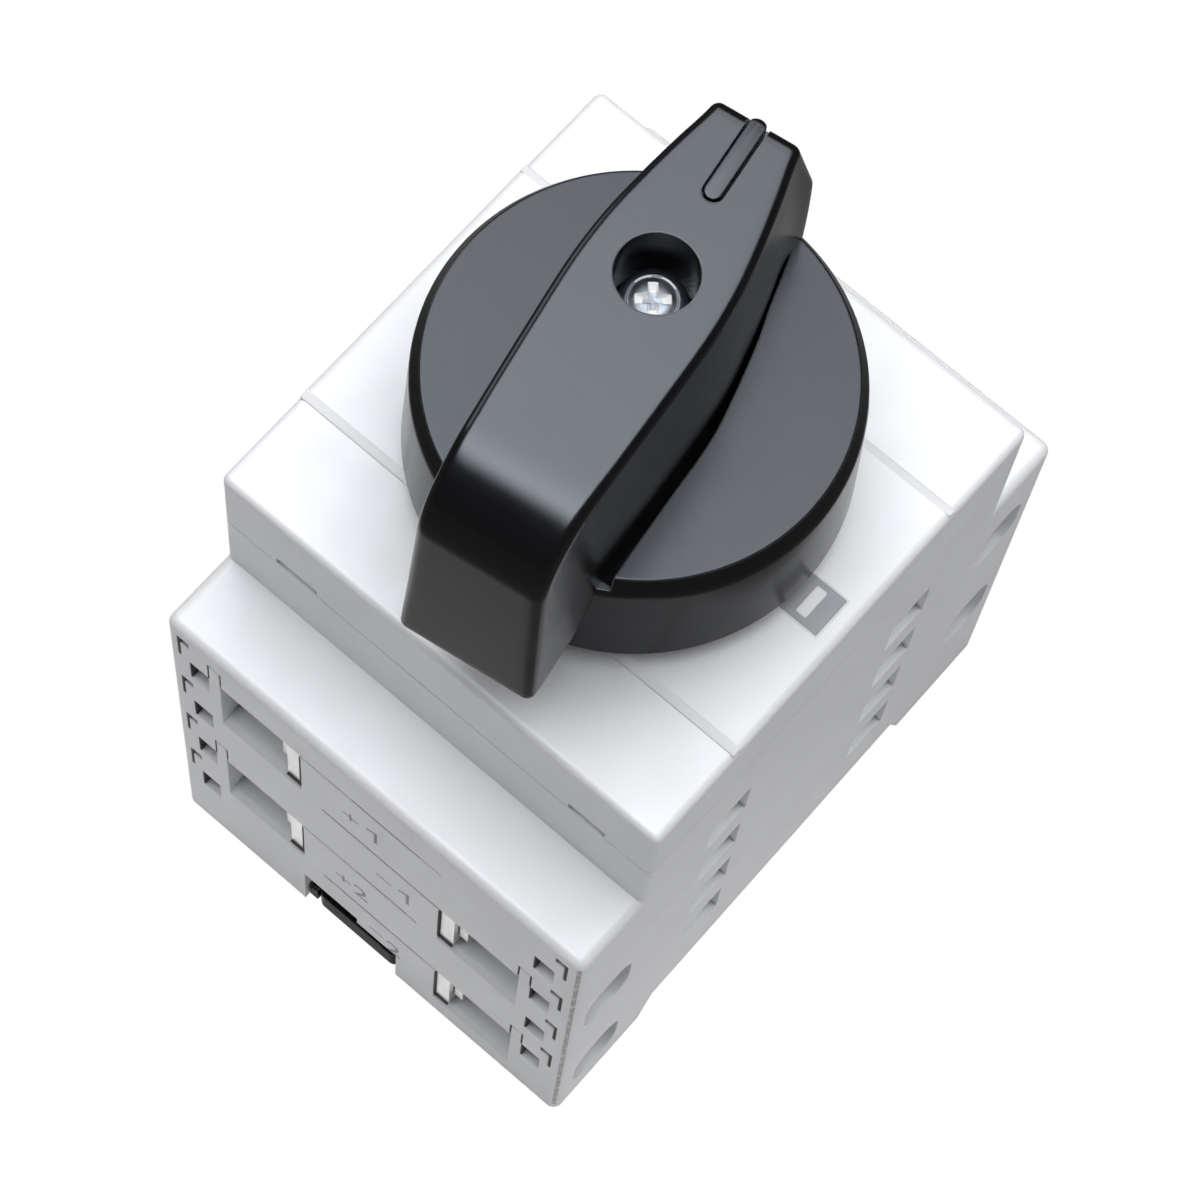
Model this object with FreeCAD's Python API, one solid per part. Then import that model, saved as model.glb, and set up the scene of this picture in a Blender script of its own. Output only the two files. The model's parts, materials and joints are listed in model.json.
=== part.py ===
import FreeCAD, Part
import math
import os

# Rotary switch disconnector for a 35 mm rail: four stacked contact layers under a turning handle.
# The rail runs along X. The cable entries face -Y and +Y, the terminal screws are reached from -X
# and +X, and the handle turns about +Z. The origin is on the bottom, under the handle's axis.

V = FreeCAD.Vector

# Body, in millimetres
MODULE_WIDTH = 18.0
MODULE_COUNT = 4
BODY_LENGTH = 97.2
RAISED_LENGTH = 73.2
FOOT_HEIGHT = 5.0
LAYER_PITCH = 16.05
LAYER_COUNT = 4
LEDGE_RISE = 9.8
SEAM_RISE = 13.3
COVER_HEIGHT = 14.0
BAND_RISE = 0.6
BAND_LENGTH = 41.6
WALL = 1.8
LAYER_FLOOR = 1.6
MECHANISM_FLOOR = 3.4
CORNER_RADIUS = 1.5
LEDGE_EDGE_RADIUS = 1.6
COVER_EDGE_RADIUS = 1.2
BAND_EDGE_RADIUS = 0.4
MECHANISM_RADIUS = 28.0

# Cover latches on the seam: centre along the rail and width of each window
COVER_WINDOWS = ((-23.3, 6.9), (25.5, 6.0))
COVER_WINDOW_HEIGHT = 1.8
COVER_REVEAL = 0.25

# Cable entries and terminals
ENTRY_CENTRE = 19.5
ENTRY_WIDTH = 14.2
POCKET_DEPTH = 19.0
ENTRY_SILL = 0.9
BAR_THICKNESS = 2.4
BAR_RECESS = 0.3
BAR_SIDE_GAP = 0.2
FRAME_WIDTH = 8.0
FRAME_PLATE = 2.5
FRAME_ARM = 1.0
SADDLE_THICKNESS = 1.5
SADDLE_GAP = 0.2
SADDLE_FRONT = 1.3
SADDLE_LENGTH = 10.6
SADDLE_PLAY = 0.5
SADDLE_CORNER = 3.0
SCREW_AXIS_DEPTH = 8.1
SCREW_AXIS_DROP = 0.9
SCREW_RADIUS = 2.5
SCREW_HEAD_RADIUS = 4.2
SCREW_HEAD_LENGTH = 4.0
SCREW_HEAD_GAP = 0.4
SCREW_SLOT_WIDTH = 1.2
SCREW_SLOT_DEPTH = 1.6
SCREW_RUN_GAP = 0.08
SCREW_PITCH = 0.8
SCREW_TURNS = 6
ACCESS_WIDTH = 9.5
ACCESS_SILL = 0.9
ACCESS_CORNER = 4.0

# Side vents, latch slots and the seams between the layers
VENT_CENTRE = 18.6
VENT_LENGTH = 8.1
VENT_RISE = 7.7
VENT_DROP = 1.4
VENT_CHAMBER_DEPTH = 10.0
HOOK_CENTRE = 32.9
HOOK_WIDTH = 2.1
HOOK_RISE = 7.1
HOOK_HEAD = 1.9
HOOK_SLIT = 0.55
LATCH_CENTRE = 30.3
LATCH_WIDTH = 3.4
LATCH_DROP = 5.9
LATCH_DEPTH = 3.5
TAB_WIDTH = 1.8
TAB_RISE = 5.0
TAB_DEPTH = 2.0
TAB_GAP = 0.3
SEAM_DEPTH = 0.4
SEAM_HEIGHT = 0.45
SEAM_REACH = 8.6

# Contact path
CONTACT_THICKNESS = 1.6
CONTACT_WIDTH = 7.0
CONTACT_TIP_RADIUS = 13.6
CONTACT_KNEE_RADIUS = 20.0
CONTACT_SIDE_ROOM = 0.5
BLADE_ANGLE = 45
CHAMBER_RADIUS = 19.4
BRIDGE_REACH = 18.6
BRIDGE_WIDTH = 8.0
BRIDGE_BLADE = 1.0
BRIDGE_GAP = 0.1
RIVET_RADIUS = 1.0
ROTOR_HUB_RADIUS = 6.4
ROTOR_FLANGE_RADIUS = 13.0
ROTOR_FLANGE_ROOM = 1.9
ROTOR_FLOAT = 0.2
ROTOR_SEAT = 0.05
SHAFT_SIDE = 7.0
SHAFT_FIT = 0.05
RUNNING_GAP = 0.3

# Rail channel and clip
RAIL_WIDTH = 35.0
RAIL_SEAT = 6.5
SEAT_RELIEF = 0.4
RAIL_PLATE = 1.0
RAIL_PLAY = 0.3
CHANNEL_LENGTH = 55.0
CHANNEL_SLOPE = 3.0
HOOK_BLOCK_HALF = 14.0
HOOK_LIP = 1.6
HOOK_LIP_HEIGHT = 2.6
CLIP_CENTRE = -3.0
CLIP_WIDTH = 15.6
CLIP_FLOAT = 0.7
HOOK_BLOCK_FLOAT = 0.3
CLIP_THICKNESS = 4.5
CLIP_TRAVEL = 4.0
CLIP_SIDE_GAP = 0.3
CLIP_GRIP_GAP = 0.6
CLIP_POST = 1.6
CLIP_POST_HEIGHT = 5.0
CLIP_CHAMBER_HEIGHT = 12.4
CLIP_CHAMBER_SIDE = 1.7
CLIP_CHAMBER_LENGTH = 18.6
CLIP_WEB = 1.5
CLIP_SPRING_RADIUS = 1.9
CLIP_SPRING_WIRE = 0.35
CLIP_SPRING_LENGTH = 8.0
CLIP_SPRING_TURNS = 4

# Long screws that hold the stack together
STACK_SCREW_X = 31.4
STACK_SCREW_Y = 26.2
STACK_SCREW_RADIUS = 1.5
STACK_SCREW_FIT = 0.2
STACK_SCREW_HEAD_RADIUS = 2.8
STACK_SCREW_HEAD = 2.0
STACK_SCREW_BITE = 6.0

# Snap mechanism
CARRIER_RADIUS = 22.0
CARRIER_THICKNESS = 4.0
CAM_RADIUS = 19.0
CAM_THICKNESS = 4.0
CAM_LIFT = 12.0
SNAP_POST_OFFSET = 13.0
SNAP_POST_HALF = 2.0
SNAP_SPRING_RADIUS = 2.6
SNAP_SPRING_WIRE = 0.5
SNAP_SPRING_TURNS = 5
SNAP_SPRING_LENGTH = 15.0

# Handle
HANDLE_TURN = 9.0
COLLAR_RADIUS = 24.0
COLLAR_HEIGHT = 4.4
COLLAR_WALL = 5.0
SKIRT_BASE_RADIUS = 28.6
SKIRT_EDGE_RADIUS = 27.7
SKIRT_FACE_RADIUS = 26.6
SKIRT_HEIGHT = 21.3
SKIRT_BEVEL = 2.1
HANDLE_WALL = 2.4
HUB_RADIUS = 9.5
GROOVE_DEPTH = 9.0
BAR_RISE = 28.7
BAR_UNDER = 12.1
BAR_TIP = 22.6
BAR_NOSE = 27.0
BAR_NOSE_DROP = 15.0
BAR_GRIP = 39.6
BAR_GRIP_LEAN = 1.7
BAR_CROWN_START = 26.5
BAR_CROWN_DROP = 10.0
BAR_ARCH = 33.5
BAR_ARCH_RISE = 2.2
BAR_ARCH_DEPTH = 6.0
BAR_ARCH_BOW = 1.0
BAR_EDGE = 0.8
BAR_NECK = 10.75
BAR_WAIST = -3.0

# Half widths of the bar's outline at nose, tip, neck, waist, flank and grip end
CROWN_HALVES = (5.6, 5.75, 8.25, 9.65, 8.95, 8.1)
FOOT_HALVES = (7.7, 7.7, 9.75, 11.15, 10.45, 9.7)
GROOVE_HALVES = (6.0, 7.25, 9.85, 11.65, 11.2, 11.0)
SCREW_WELL_RADIUS = 5.1
SCREW_WELL_DEPTH = 13.5
HANDLE_WEB = 3.0
INSERT_WIDTH = 2.15
INSERT_LENGTH = 11.3
INSERT_DEPTH = 2.4
INSERT_GAP = 0.3
INSERT_NUB = 0.4
HANDLE_SCREW_RADIUS = 2.0
HANDLE_SCREW_HEAD_RADIUS = 4.2
HANDLE_SCREW_HEAD = 2.6
HANDLE_SCREW_CROWN = 1.0
HANDLE_SCREW_REACH = 12.0
RECESS_WIDTH = 1.1
RECESS_LENGTH = 4.4
RECESS_DEPTH = 1.8
WASHER_RADIUS = 4.8
WASHER_THICKNESS = 1.0

# Derived levels and sizes
BODY_WIDTH = MODULE_WIDTH * MODULE_COUNT
HALF_WIDTH = BODY_WIDTH / 2
HALF_LENGTH = BODY_LENGTH / 2
STACK_TOP = FOOT_HEIGHT + LAYER_COUNT * LAYER_PITCH
LEDGE_Z = STACK_TOP + LEDGE_RISE
SEAM_Z = LEDGE_Z + SEAM_RISE
TOP_Z = SEAM_Z + COVER_HEIGHT
BAND_Z = TOP_Z + BAND_RISE
COLLAR_Z = BAND_Z + COLLAR_HEIGHT
SKIRT_Z = COLLAR_Z + RUNNING_GAP
FACE_Z = SKIRT_Z + SKIRT_HEIGHT
BAR_Z = FACE_Z + BAR_RISE
BAR_BASE_Z = FACE_Z - BAR_UNDER
GROOVE_Z = FACE_Z - GROOVE_DEPTH
WELL_Z = BAR_Z - SCREW_WELL_DEPTH
SHAFT_TOP_Z = WELL_Z - HANDLE_WEB
MECHANISM_Z = STACK_TOP + MECHANISM_FLOOR
CARRIER_Z = MECHANISM_Z + ROTOR_FLOAT
CAM_Z = CARRIER_Z + CAM_LIFT
LAYER_INNER = LAYER_PITCH - LAYER_FLOOR
POCKET_OUTER = -ENTRY_CENTRE - ENTRY_WIDTH / 2
POCKET_INNER = -ENTRY_CENTRE + ENTRY_WIDTH / 2
BAR_INNER = POCKET_INNER - BAR_SIDE_GAP
BAR_OUTER = BAR_INNER - BAR_THICKNESS
SADDLE_INNER = BAR_OUTER - SADDLE_GAP
SADDLE_OUTER = SADDLE_INNER - SADDLE_THICKNESS
SCREW_Y = -HALF_LENGTH + SCREW_AXIS_DEPTH
SCREW_RISE = LAYER_PITCH / 2 - SCREW_AXIS_DROP
FRAME_PLATE_X = POCKET_OUTER
SCREW_HEAD_X = FRAME_PLATE_X - SCREW_HEAD_GAP
CHANNEL_HALF = CHANNEL_LENGTH / 2
RAIL_HALF = RAIL_WIDTH / 2 + RAIL_PLAY
CLIP_LOW = CLIP_CENTRE - CLIP_WIDTH / 2
CLIP_HIGH = CLIP_CENTRE + CLIP_WIDTH / 2
CLIP_TOP = CLIP_FLOAT + CLIP_THICKNESS
CLIP_BACK_Y = -HALF_LENGTH + CLIP_CHAMBER_LENGTH
CLIP_WEB_Y = CLIP_BACK_Y - CLIP_SIDE_GAP - CLIP_POST - CLIP_SPRING_LENGTH
CONTACT_RISE = (LAYER_FLOOR + LAYER_PITCH) / 2
BRIDGE_HALF = CONTACT_THICKNESS / 2 + BRIDGE_GAP + BRIDGE_BLADE
ROTOR_FLANGE = LAYER_INNER / 2 - BRIDGE_HALF - ROTOR_SEAT - ROTOR_FLANGE_ROOM

# How far cutting tools run past the faces they cut, and how near two lengths count as equal
OVERSIZE = 1.0
NEAR = 1e-6
ROUGHLY = 1e-2


def box(x0, x1, y0, y1, z0, z1):
    """A block between two corners."""
    return Part.makeBox(x1 - x0, y1 - y0, z1 - z0, V(x0, y0, z0))


def disc(radius, z0, z1, x=0.0, y=0.0):
    """An upright cylinder."""
    return Part.makeCylinder(radius, z1 - z0, V(x, y, z0))


def edges_along(shape, axis):
    """The straight edges of a shape that run along one axis."""
    found = []
    for edge in shape.Edges:
        if edge.Curve.TypeId == "Part::GeomLine":
            run = edge.Vertexes[-1].Point.sub(edge.Vertexes[0].Point)
            if run.cross(axis).Length < NEAR * run.Length:
                found.append(edge)
    return found


def edges_at_height(shape, z):
    """The edges of a shape that lie flat at one height."""
    return [edge for edge in shape.Edges
            if abs(edge.BoundBox.ZMin - z) < NEAR and abs(edge.BoundBox.ZMax - z) < NEAR]


def rounded_block(half_x, half_y, z0, z1, corner, top=0.0):
    """A centred block with rounded corners and, if asked, a rounded top edge."""
    block = box(-half_x, half_x, -half_y, half_y, z0, z1)
    block = block.makeFillet(corner, edges_along(block, V(0, 0, 1)))
    if top:
        block = block.makeFillet(top, edges_at_height(block, z1))
    return block


def fuse_all(shapes):
    """One solid from shapes that overlap."""
    return shapes[0].multiFuse(shapes[1:]).removeSplitter()


def single(shape):
    """The one solid inside a compound."""
    if len(shape.Solids) != 1:
        raise ValueError("expected one solid, found %d" % len(shape.Solids))
    return shape.Solids[0]


def cut_all(shape, tools):
    """A shape less a list of tools."""
    return single(shape.cut(Part.makeCompound(tools)))


def turned(shape, degrees):
    """A copy turned about the handle's axis."""
    out = shape.copy()
    out.rotate(V(0, 0, 0), V(0, 0, 1), degrees)
    return out


def layer_base(layer):
    """Height of a layer's lower seam; layer 1 is the top one."""
    return FOOT_HEIGHT + (LAYER_COUNT - layer) * LAYER_PITCH


def at_terminal(shape, layer, end):
    """Moves a shape from the -X -Y corner of layer 1, with its seam at zero, to any terminal."""
    out = shape.copy()
    if layer % 2 == 0:
        out = out.mirror(V(0, 0, 0), V(1, 0, 0))
    if end == "far":
        out.rotate(V(0, 0, 0), V(0, 0, 1), 180)
    out.translate(V(0, 0, layer_base(layer)))
    return out


def coil(radius, wire, length, turns):
    """A compression spring along +Z that starts at the origin."""
    rise = length - 2 * wire
    path = Part.makeHelix(rise / turns, rise, radius)
    section = Part.Wire(Part.makeCircle(wire, V(radius, 0, 0), V(0, 1, 0)))
    spring = Part.Wire(path).makePipeShell([section], True, True)
    spring.translate(V(0, 0, wire))
    return spring


def access_tunnel():
    """The rounded well from the side face to the terminal screw."""
    low = -HALF_WIDTH - OVERSIZE
    well = box(low, POCKET_OUTER + OVERSIZE, SCREW_Y - ACCESS_WIDTH / 2, SCREW_Y + ACCESS_WIDTH / 2,
               ACCESS_SILL, 2 * SCREW_RISE - ACCESS_SILL)
    return well.makeFillet(ACCESS_CORNER, edges_along(well, V(1, 0, 0)))


def entry_pocket():
    """The cable entry and the room for the terminal behind it."""
    back = -HALF_LENGTH + POCKET_DEPTH
    pocket = box(POCKET_OUTER, POCKET_INNER, -HALF_LENGTH - OVERSIZE, back,
                 LAYER_FLOOR, LAYER_PITCH + OVERSIZE)
    sill = Part.Face(Part.makePolygon([
        V(POCKET_OUTER, -HALF_LENGTH - OVERSIZE, LAYER_FLOOR - ENTRY_SILL - OVERSIZE),
        V(POCKET_OUTER, -HALF_LENGTH - OVERSIZE, LAYER_FLOOR),
        V(POCKET_OUTER, -HALF_LENGTH + ENTRY_SILL, LAYER_FLOOR),
        V(POCKET_OUTER, -HALF_LENGTH - OVERSIZE, LAYER_FLOOR - ENTRY_SILL - OVERSIZE)]))
    return [pocket, sill.extrude(V(ENTRY_WIDTH, 0, 0))]


def contact_slot():
    """The slot that takes the fixed contact from its pocket to the rotor."""
    half = CONTACT_WIDTH / 2 + CONTACT_SIDE_ROOM
    middle = -CONTACT_KNEE_RADIUS * math.cos(math.radians(BLADE_ANGLE))
    front = -HALF_LENGTH + POCKET_DEPTH - BAR_THICKNESS - BAR_SIDE_GAP
    return box(middle - half, middle + half, front, -CHAMBER_RADIUS / 2,
               CONTACT_RISE - CONTACT_THICKNESS, LAYER_PITCH + OVERSIZE)


def vent_tools(layer, top):
    """Side vents just above a seam, with the dark chamber behind each."""
    z = layer_base(layer)
    tools = []
    for side in (-1, 1):
        for end in (-1, 1):
            y = end * VENT_CENTRE
            inner = side * (HALF_WIDTH - WALL)
            outer = side * (HALF_WIDTH + OVERSIZE)
            deep = side * (HALF_WIDTH - VENT_CHAMBER_DEPTH)
            y0, y1 = y - VENT_LENGTH / 2, y + VENT_LENGTH / 2
            tools.append(box(min(inner, outer), max(inner, outer), y0, y1, z - VENT_DROP, z + VENT_RISE))
            if top:
                tools.append(box(min(deep, outer), max(deep, outer), y0, y1,
                                 z + LAYER_FLOOR, z + VENT_RISE))
    return tools


def hook_tools(z):
    """Hook-shaped latch slots that open upwards from a seam on both cable faces."""
    tools = []
    for side in (-1, 1):
        for end in (-1, 1):
            face = end * HALF_LENGTH
            y0, y1 = sorted((face + end * OVERSIZE, face - end * LATCH_DEPTH))
            x0, x1 = side * HOOK_CENTRE - HOOK_WIDTH / 2, side * HOOK_CENTRE + HOOK_WIDTH / 2
            tools.append(box(x0, x1, y0, y1, z + HOOK_RISE - HOOK_HEAD, z + HOOK_RISE))
            rim = x0 if side < 0 else x1 - HOOK_SLIT
            tools.append(box(rim, rim + HOOK_SLIT, y0, y1, z - SEAM_HEIGHT, z + HOOK_RISE))
    return tools


def latch_tools(z):
    """Square latch windows under a seam on both cable faces."""
    tools = []
    for side in (-1, 1):
        for end in (-1, 1):
            face = end * HALF_LENGTH
            y0, y1 = sorted((face + end * OVERSIZE, face - end * LATCH_DEPTH))
            x = side * LATCH_CENTRE
            tools.append(box(x - LATCH_WIDTH / 2, x + LATCH_WIDTH / 2, y0, y1, z - LATCH_DROP, z))
    return tools


def seam_tools(layer):
    """The shadow line along the top seam of a layer, between its cable entry and past the middle."""
    z = LAYER_PITCH
    line = box(POCKET_INNER, SEAM_REACH, -HALF_LENGTH - OVERSIZE, -HALF_LENGTH + SEAM_DEPTH,
               z - SEAM_HEIGHT, z + OVERSIZE)
    return [at_terminal(line, layer, end) for end in ("near", "far")]


def tab(gap, layer, end):
    """The locating tab beside a cable entry, or with a gap the notch that takes it."""
    x = POCKET_OUTER
    y0 = -HALF_LENGTH - (OVERSIZE if gap else 0.0)
    shape = box(x - TAB_WIDTH - gap, x + gap, y0, -HALF_LENGTH + TAB_DEPTH + gap,
                LAYER_PITCH - OVERSIZE, LAYER_PITCH + TAB_RISE + gap)
    return at_terminal(shape, layer, end)


def terminal_tools(layer):
    """All the room that the two terminals of a layer need."""
    tools = []
    for end in ("near", "far"):
        for tool in entry_pocket() + [contact_slot(), access_tunnel()]:
            tools.append(at_terminal(tool, layer, end))
    return tools


def stack_screw_places():
    """Where the four long screws stand."""
    return [(sx * STACK_SCREW_X, sy * STACK_SCREW_Y) for sx in (-1, 1) for sy in (-1, 1)]


def stack_screw_holes(z0, z1):
    """Clearance holes for the long screws."""
    return [disc(STACK_SCREW_RADIUS + STACK_SCREW_FIT, z0, z1, x, y) for x, y in stack_screw_places()]


def tabbed(shape, layer):
    """A housing with its locating tabs added."""
    return fuse_all([shape] + [tab(0.0, layer, end) for end in ("near", "far")])


def contact_housing(layer):
    """One moulded tray of the stack: floor, rotor chamber, terminals, vents and latches."""
    z0 = layer_base(layer)
    z1 = z0 + LAYER_PITCH
    body = rounded_block(HALF_WIDTH, HALF_LENGTH, z0, z1, CORNER_RADIUS)
    chamber = disc(CHAMBER_RADIUS, z0 + LAYER_FLOOR, z1 + OVERSIZE)
    journal = disc(ROTOR_HUB_RADIUS + RUNNING_GAP, z0 - OVERSIZE, z1)
    tools = [chamber, journal] + terminal_tools(layer) + vent_tools(layer, True)
    tools += vent_tools(layer - 1, False) + hook_tools(z0) + latch_tools(z1) + seam_tools(layer)
    tools += stack_screw_holes(z0 - OVERSIZE, z1 + OVERSIZE)
    tools += [tab(TAB_GAP, layer + 1, end) for end in ("near", "far")]
    return single(tabbed(cut_all(body, tools), layer))


def channel_profile():
    """The rail channel seen along the rail, with its sloped ends."""
    h, s = CHANNEL_HALF, CHANNEL_SLOPE
    points = [V(-HALF_WIDTH - OVERSIZE, -h - s, -OVERSIZE), V(-HALF_WIDTH - OVERSIZE, -h, RAIL_SEAT),
              V(-HALF_WIDTH - OVERSIZE, h, RAIL_SEAT), V(-HALF_WIDTH - OVERSIZE, h + s, -OVERSIZE)]
    return Part.Face(Part.makePolygon(points + points[:1])).extrude(V(BODY_WIDTH + 2 * OVERSIZE, 0, 0))


def hook_block(end):
    """The block on one side of the rail that stops it sideways."""
    y0, y1 = sorted((end * RAIL_HALF, end * (CHANNEL_HALF + CHANNEL_SLOPE)))
    block = box(CLIP_CENTRE - HOOK_BLOCK_HALF, CLIP_CENTRE + HOOK_BLOCK_HALF, y0, y1,
                HOOK_BLOCK_FLOAT, RAIL_SEAT + OVERSIZE)
    if end > 0:
        lip_top = RAIL_SEAT - RAIL_PLATE - RAIL_PLAY
        lip = box(CLIP_CENTRE - HOOK_BLOCK_HALF, CLIP_CENTRE + HOOK_BLOCK_HALF, RAIL_HALF - HOOK_LIP,
                  RAIL_HALF + OVERSIZE, lip_top - HOOK_LIP_HEIGHT, lip_top)
        block = block.fuse(lip)
    return block


def rail_base():
    """The lowest housing: the fourth contact layer, the feet, the rail channel and the clip's guide."""
    layer = LAYER_COUNT
    z0 = layer_base(layer)
    z1 = z0 + LAYER_PITCH
    body = rounded_block(HALF_WIDTH, HALF_LENGTH, 0.0, z1, CORNER_RADIUS)
    relief = box(CLIP_CENTRE - HOOK_BLOCK_HALF - SEAT_RELIEF, CLIP_CENTRE + HOOK_BLOCK_HALF + SEAT_RELIEF,
                 -CHANNEL_HALF, CHANNEL_HALF, RAIL_SEAT - OVERSIZE, RAIL_SEAT + SEAT_RELIEF)
    body = cut_all(body, [channel_profile(), relief])
    body = fuse_all([body, hook_block(-1), hook_block(1)])
    floor_top = max(z0, RAIL_SEAT) + LAYER_FLOOR
    low, high = CLIP_LOW - CLIP_SIDE_GAP, CLIP_HIGH + CLIP_SIDE_GAP
    front = -HALF_LENGTH - OVERSIZE
    guide = box(low, high, front, -RAIL_HALF + OVERSIZE, -OVERSIZE, CLIP_TOP + CLIP_SIDE_GAP)
    chambers = [box(CLIP_LOW - CLIP_CHAMBER_SIDE, high, front, CLIP_WEB_Y - CLIP_WEB,
                    -OVERSIZE, CLIP_CHAMBER_HEIGHT),
                box(low, high, CLIP_WEB_Y, CLIP_BACK_Y, -OVERSIZE, CLIP_CHAMBER_HEIGHT)]
    tools = [disc(CHAMBER_RADIUS, floor_top, z1 + OVERSIZE), guide] + chambers
    tools += terminal_tools(layer) + vent_tools(layer - 1, False) + latch_tools(z1) + seam_tools(layer)
    tools += stack_screw_holes(-OVERSIZE, z1 + OVERSIZE)
    for x, y in stack_screw_places():
        tools.append(disc(STACK_SCREW_HEAD_RADIUS + STACK_SCREW_FIT, -OVERSIZE,
                          RAIL_SEAT + STACK_SCREW_HEAD, x, y))
    return single(tabbed(cut_all(body, tools), layer))


def mechanism_housing():
    """The housing over the stack: the ledge over the cable faces and the lower half of the raised part."""
    ledge = rounded_block(HALF_WIDTH, HALF_LENGTH, STACK_TOP, LEDGE_Z, CORNER_RADIUS, LEDGE_EDGE_RADIUS)
    raised = rounded_block(HALF_WIDTH, RAISED_LENGTH / 2, STACK_TOP + LEDGE_EDGE_RADIUS, SEAM_Z,
                           COVER_EDGE_RADIUS)
    body = fuse_all([ledge, raised])
    tools = [disc(MECHANISM_RADIUS, MECHANISM_Z, SEAM_Z + OVERSIZE),
             disc(ROTOR_HUB_RADIUS + RUNNING_GAP, STACK_TOP - OVERSIZE, MECHANISM_Z + OVERSIZE)]
    tools += vent_tools(0, True) + hook_tools(STACK_TOP)
    tools += [tab(TAB_GAP, 1, end) for end in ("near", "far")]
    tools += stack_screw_holes(STACK_TOP - OVERSIZE, STACK_TOP + STACK_SCREW_BITE)
    return cut_all(body, tools)


def top_cover():
    """The front cover: end bands, the higher middle band, the round collar and the latch windows."""
    half_y = RAISED_LENGTH / 2
    body = rounded_block(HALF_WIDTH, half_y, SEAM_Z, TOP_Z, COVER_EDGE_RADIUS, COVER_EDGE_RADIUS)
    body = body.makeChamfer(COVER_REVEAL, edges_at_height(body, SEAM_Z))
    band = box(-HALF_WIDTH, HALF_WIDTH, -BAND_LENGTH / 2, BAND_LENGTH / 2, TOP_Z - WALL, BAND_Z)
    sides = [edge for edge in edges_at_height(band, BAND_Z)
             if abs(abs(edge.CenterOfMass.x) - HALF_WIDTH) < NEAR]
    band = band.makeFillet(COVER_EDGE_RADIUS, sides)
    steps = [edge for edge in edges_at_height(band, BAND_Z)
             if abs(abs(edge.CenterOfMass.y) - BAND_LENGTH / 2) < NEAR]
    band = band.makeFillet(BAND_EDGE_RADIUS, steps)
    body = fuse_all([body, band, disc(COLLAR_RADIUS, TOP_Z, COLLAR_Z)])
    tools = [box(-HALF_WIDTH + WALL, HALF_WIDTH - WALL, -half_y + WALL, half_y - WALL,
                 SEAM_Z - OVERSIZE, TOP_Z - WALL),
             disc(HUB_RADIUS + RUNNING_GAP, SEAM_Z, COLLAR_Z + OVERSIZE)]
    groove = disc(COLLAR_RADIUS - COLLAR_WALL, BAND_Z, COLLAR_Z + OVERSIZE)
    tools.append(groove.cut(disc(HUB_RADIUS + COLLAR_WALL, TOP_Z, COLLAR_Z + 2 * OVERSIZE)))
    for centre, width in COVER_WINDOWS:
        for end in (-1, 1):
            y0, y1 = sorted((end * (half_y + OVERSIZE), end * (half_y - WALL - OVERSIZE)))
            x = -end * centre
            tools.append(box(x - width / 2, x + width / 2, y0, y1,
                             SEAM_Z - OVERSIZE, SEAM_Z + COVER_WINDOW_HEIGHT))
    return cut_all(body, tools)


def fixed_contact():
    """The terminal bar on edge, with the flat blade that reaches the rotor."""
    front = -HALF_LENGTH + BAR_RECESS
    back = -HALF_LENGTH + POCKET_DEPTH
    low = LAYER_FLOOR + FRAME_ARM
    bar = box(BAR_OUTER, BAR_INNER, front, back, low, LAYER_PITCH - FRAME_ARM)
    diagonal = V(-math.cos(math.radians(BLADE_ANGLE)), -math.sin(math.radians(BLADE_ANGLE)), 0)
    across = V(diagonal.y, -diagonal.x, 0)
    half = CONTACT_WIDTH / 2
    z = CONTACT_RISE - CONTACT_THICKNESS / 2
    tip = diagonal * CONTACT_TIP_RADIUS
    knee = diagonal * CONTACT_KNEE_RADIUS
    outer, inner = knee - across * half, knee + across * half
    if outer.x > inner.x:
        outer, inner = inner, outer
        across = across * -1
    points = [tip - across * half, outer, V(outer.x, back, 0), V(inner.x, back, 0), inner,
              tip + across * half]
    points = [V(p.x, p.y, z) for p in points]
    blade = Part.Face(Part.makePolygon(points + points[:1])).extrude(V(0, 0, CONTACT_THICKNESS))
    root = box(outer.x, inner.x, back - BAR_THICKNESS, back, z, z + CONTACT_THICKNESS)
    return single(fuse_all([bar, root, blade]))


def terminal_frame():
    """The steel frame that holds the terminal screw's thread, with an arm above and below the bar."""
    y0, y1 = SCREW_Y - FRAME_WIDTH / 2, SCREW_Y + FRAME_WIDTH / 2
    plate = box(FRAME_PLATE_X, FRAME_PLATE_X + FRAME_PLATE, y0, y1, LAYER_FLOOR, LAYER_PITCH)
    lower = box(FRAME_PLATE_X, BAR_INNER, y0, y1, LAYER_FLOOR, LAYER_FLOOR + FRAME_ARM)
    upper = box(FRAME_PLATE_X, BAR_INNER, y0, y1, LAYER_PITCH - FRAME_ARM, LAYER_PITCH)
    body = fuse_all([plate, lower, upper])
    thread = Part.makeCylinder(SCREW_RADIUS + SCREW_RUN_GAP, FRAME_PLATE + 2 * OVERSIZE,
                               V(FRAME_PLATE_X - OVERSIZE, SCREW_Y, SCREW_RISE), V(1, 0, 0))
    return single(body.cut(thread))


def clamp_saddle():
    """The pressure plate that the screw drives against the wire, rounded at its lower front corner."""
    y0 = -HALF_LENGTH + SADDLE_FRONT
    z0 = LAYER_FLOOR + FRAME_ARM + SADDLE_PLAY
    z1 = LAYER_PITCH - FRAME_ARM - SADDLE_PLAY
    plate = box(SADDLE_OUTER, SADDLE_INNER, y0, y0 + SADDLE_LENGTH, z0, z1)
    corner = [edge for edge in edges_along(plate, V(1, 0, 0))
              if abs(edge.CenterOfMass.y - y0) < NEAR and abs(edge.CenterOfMass.z - z0) < NEAR]
    return plate.makeFillet(SADDLE_CORNER, corner)


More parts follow.
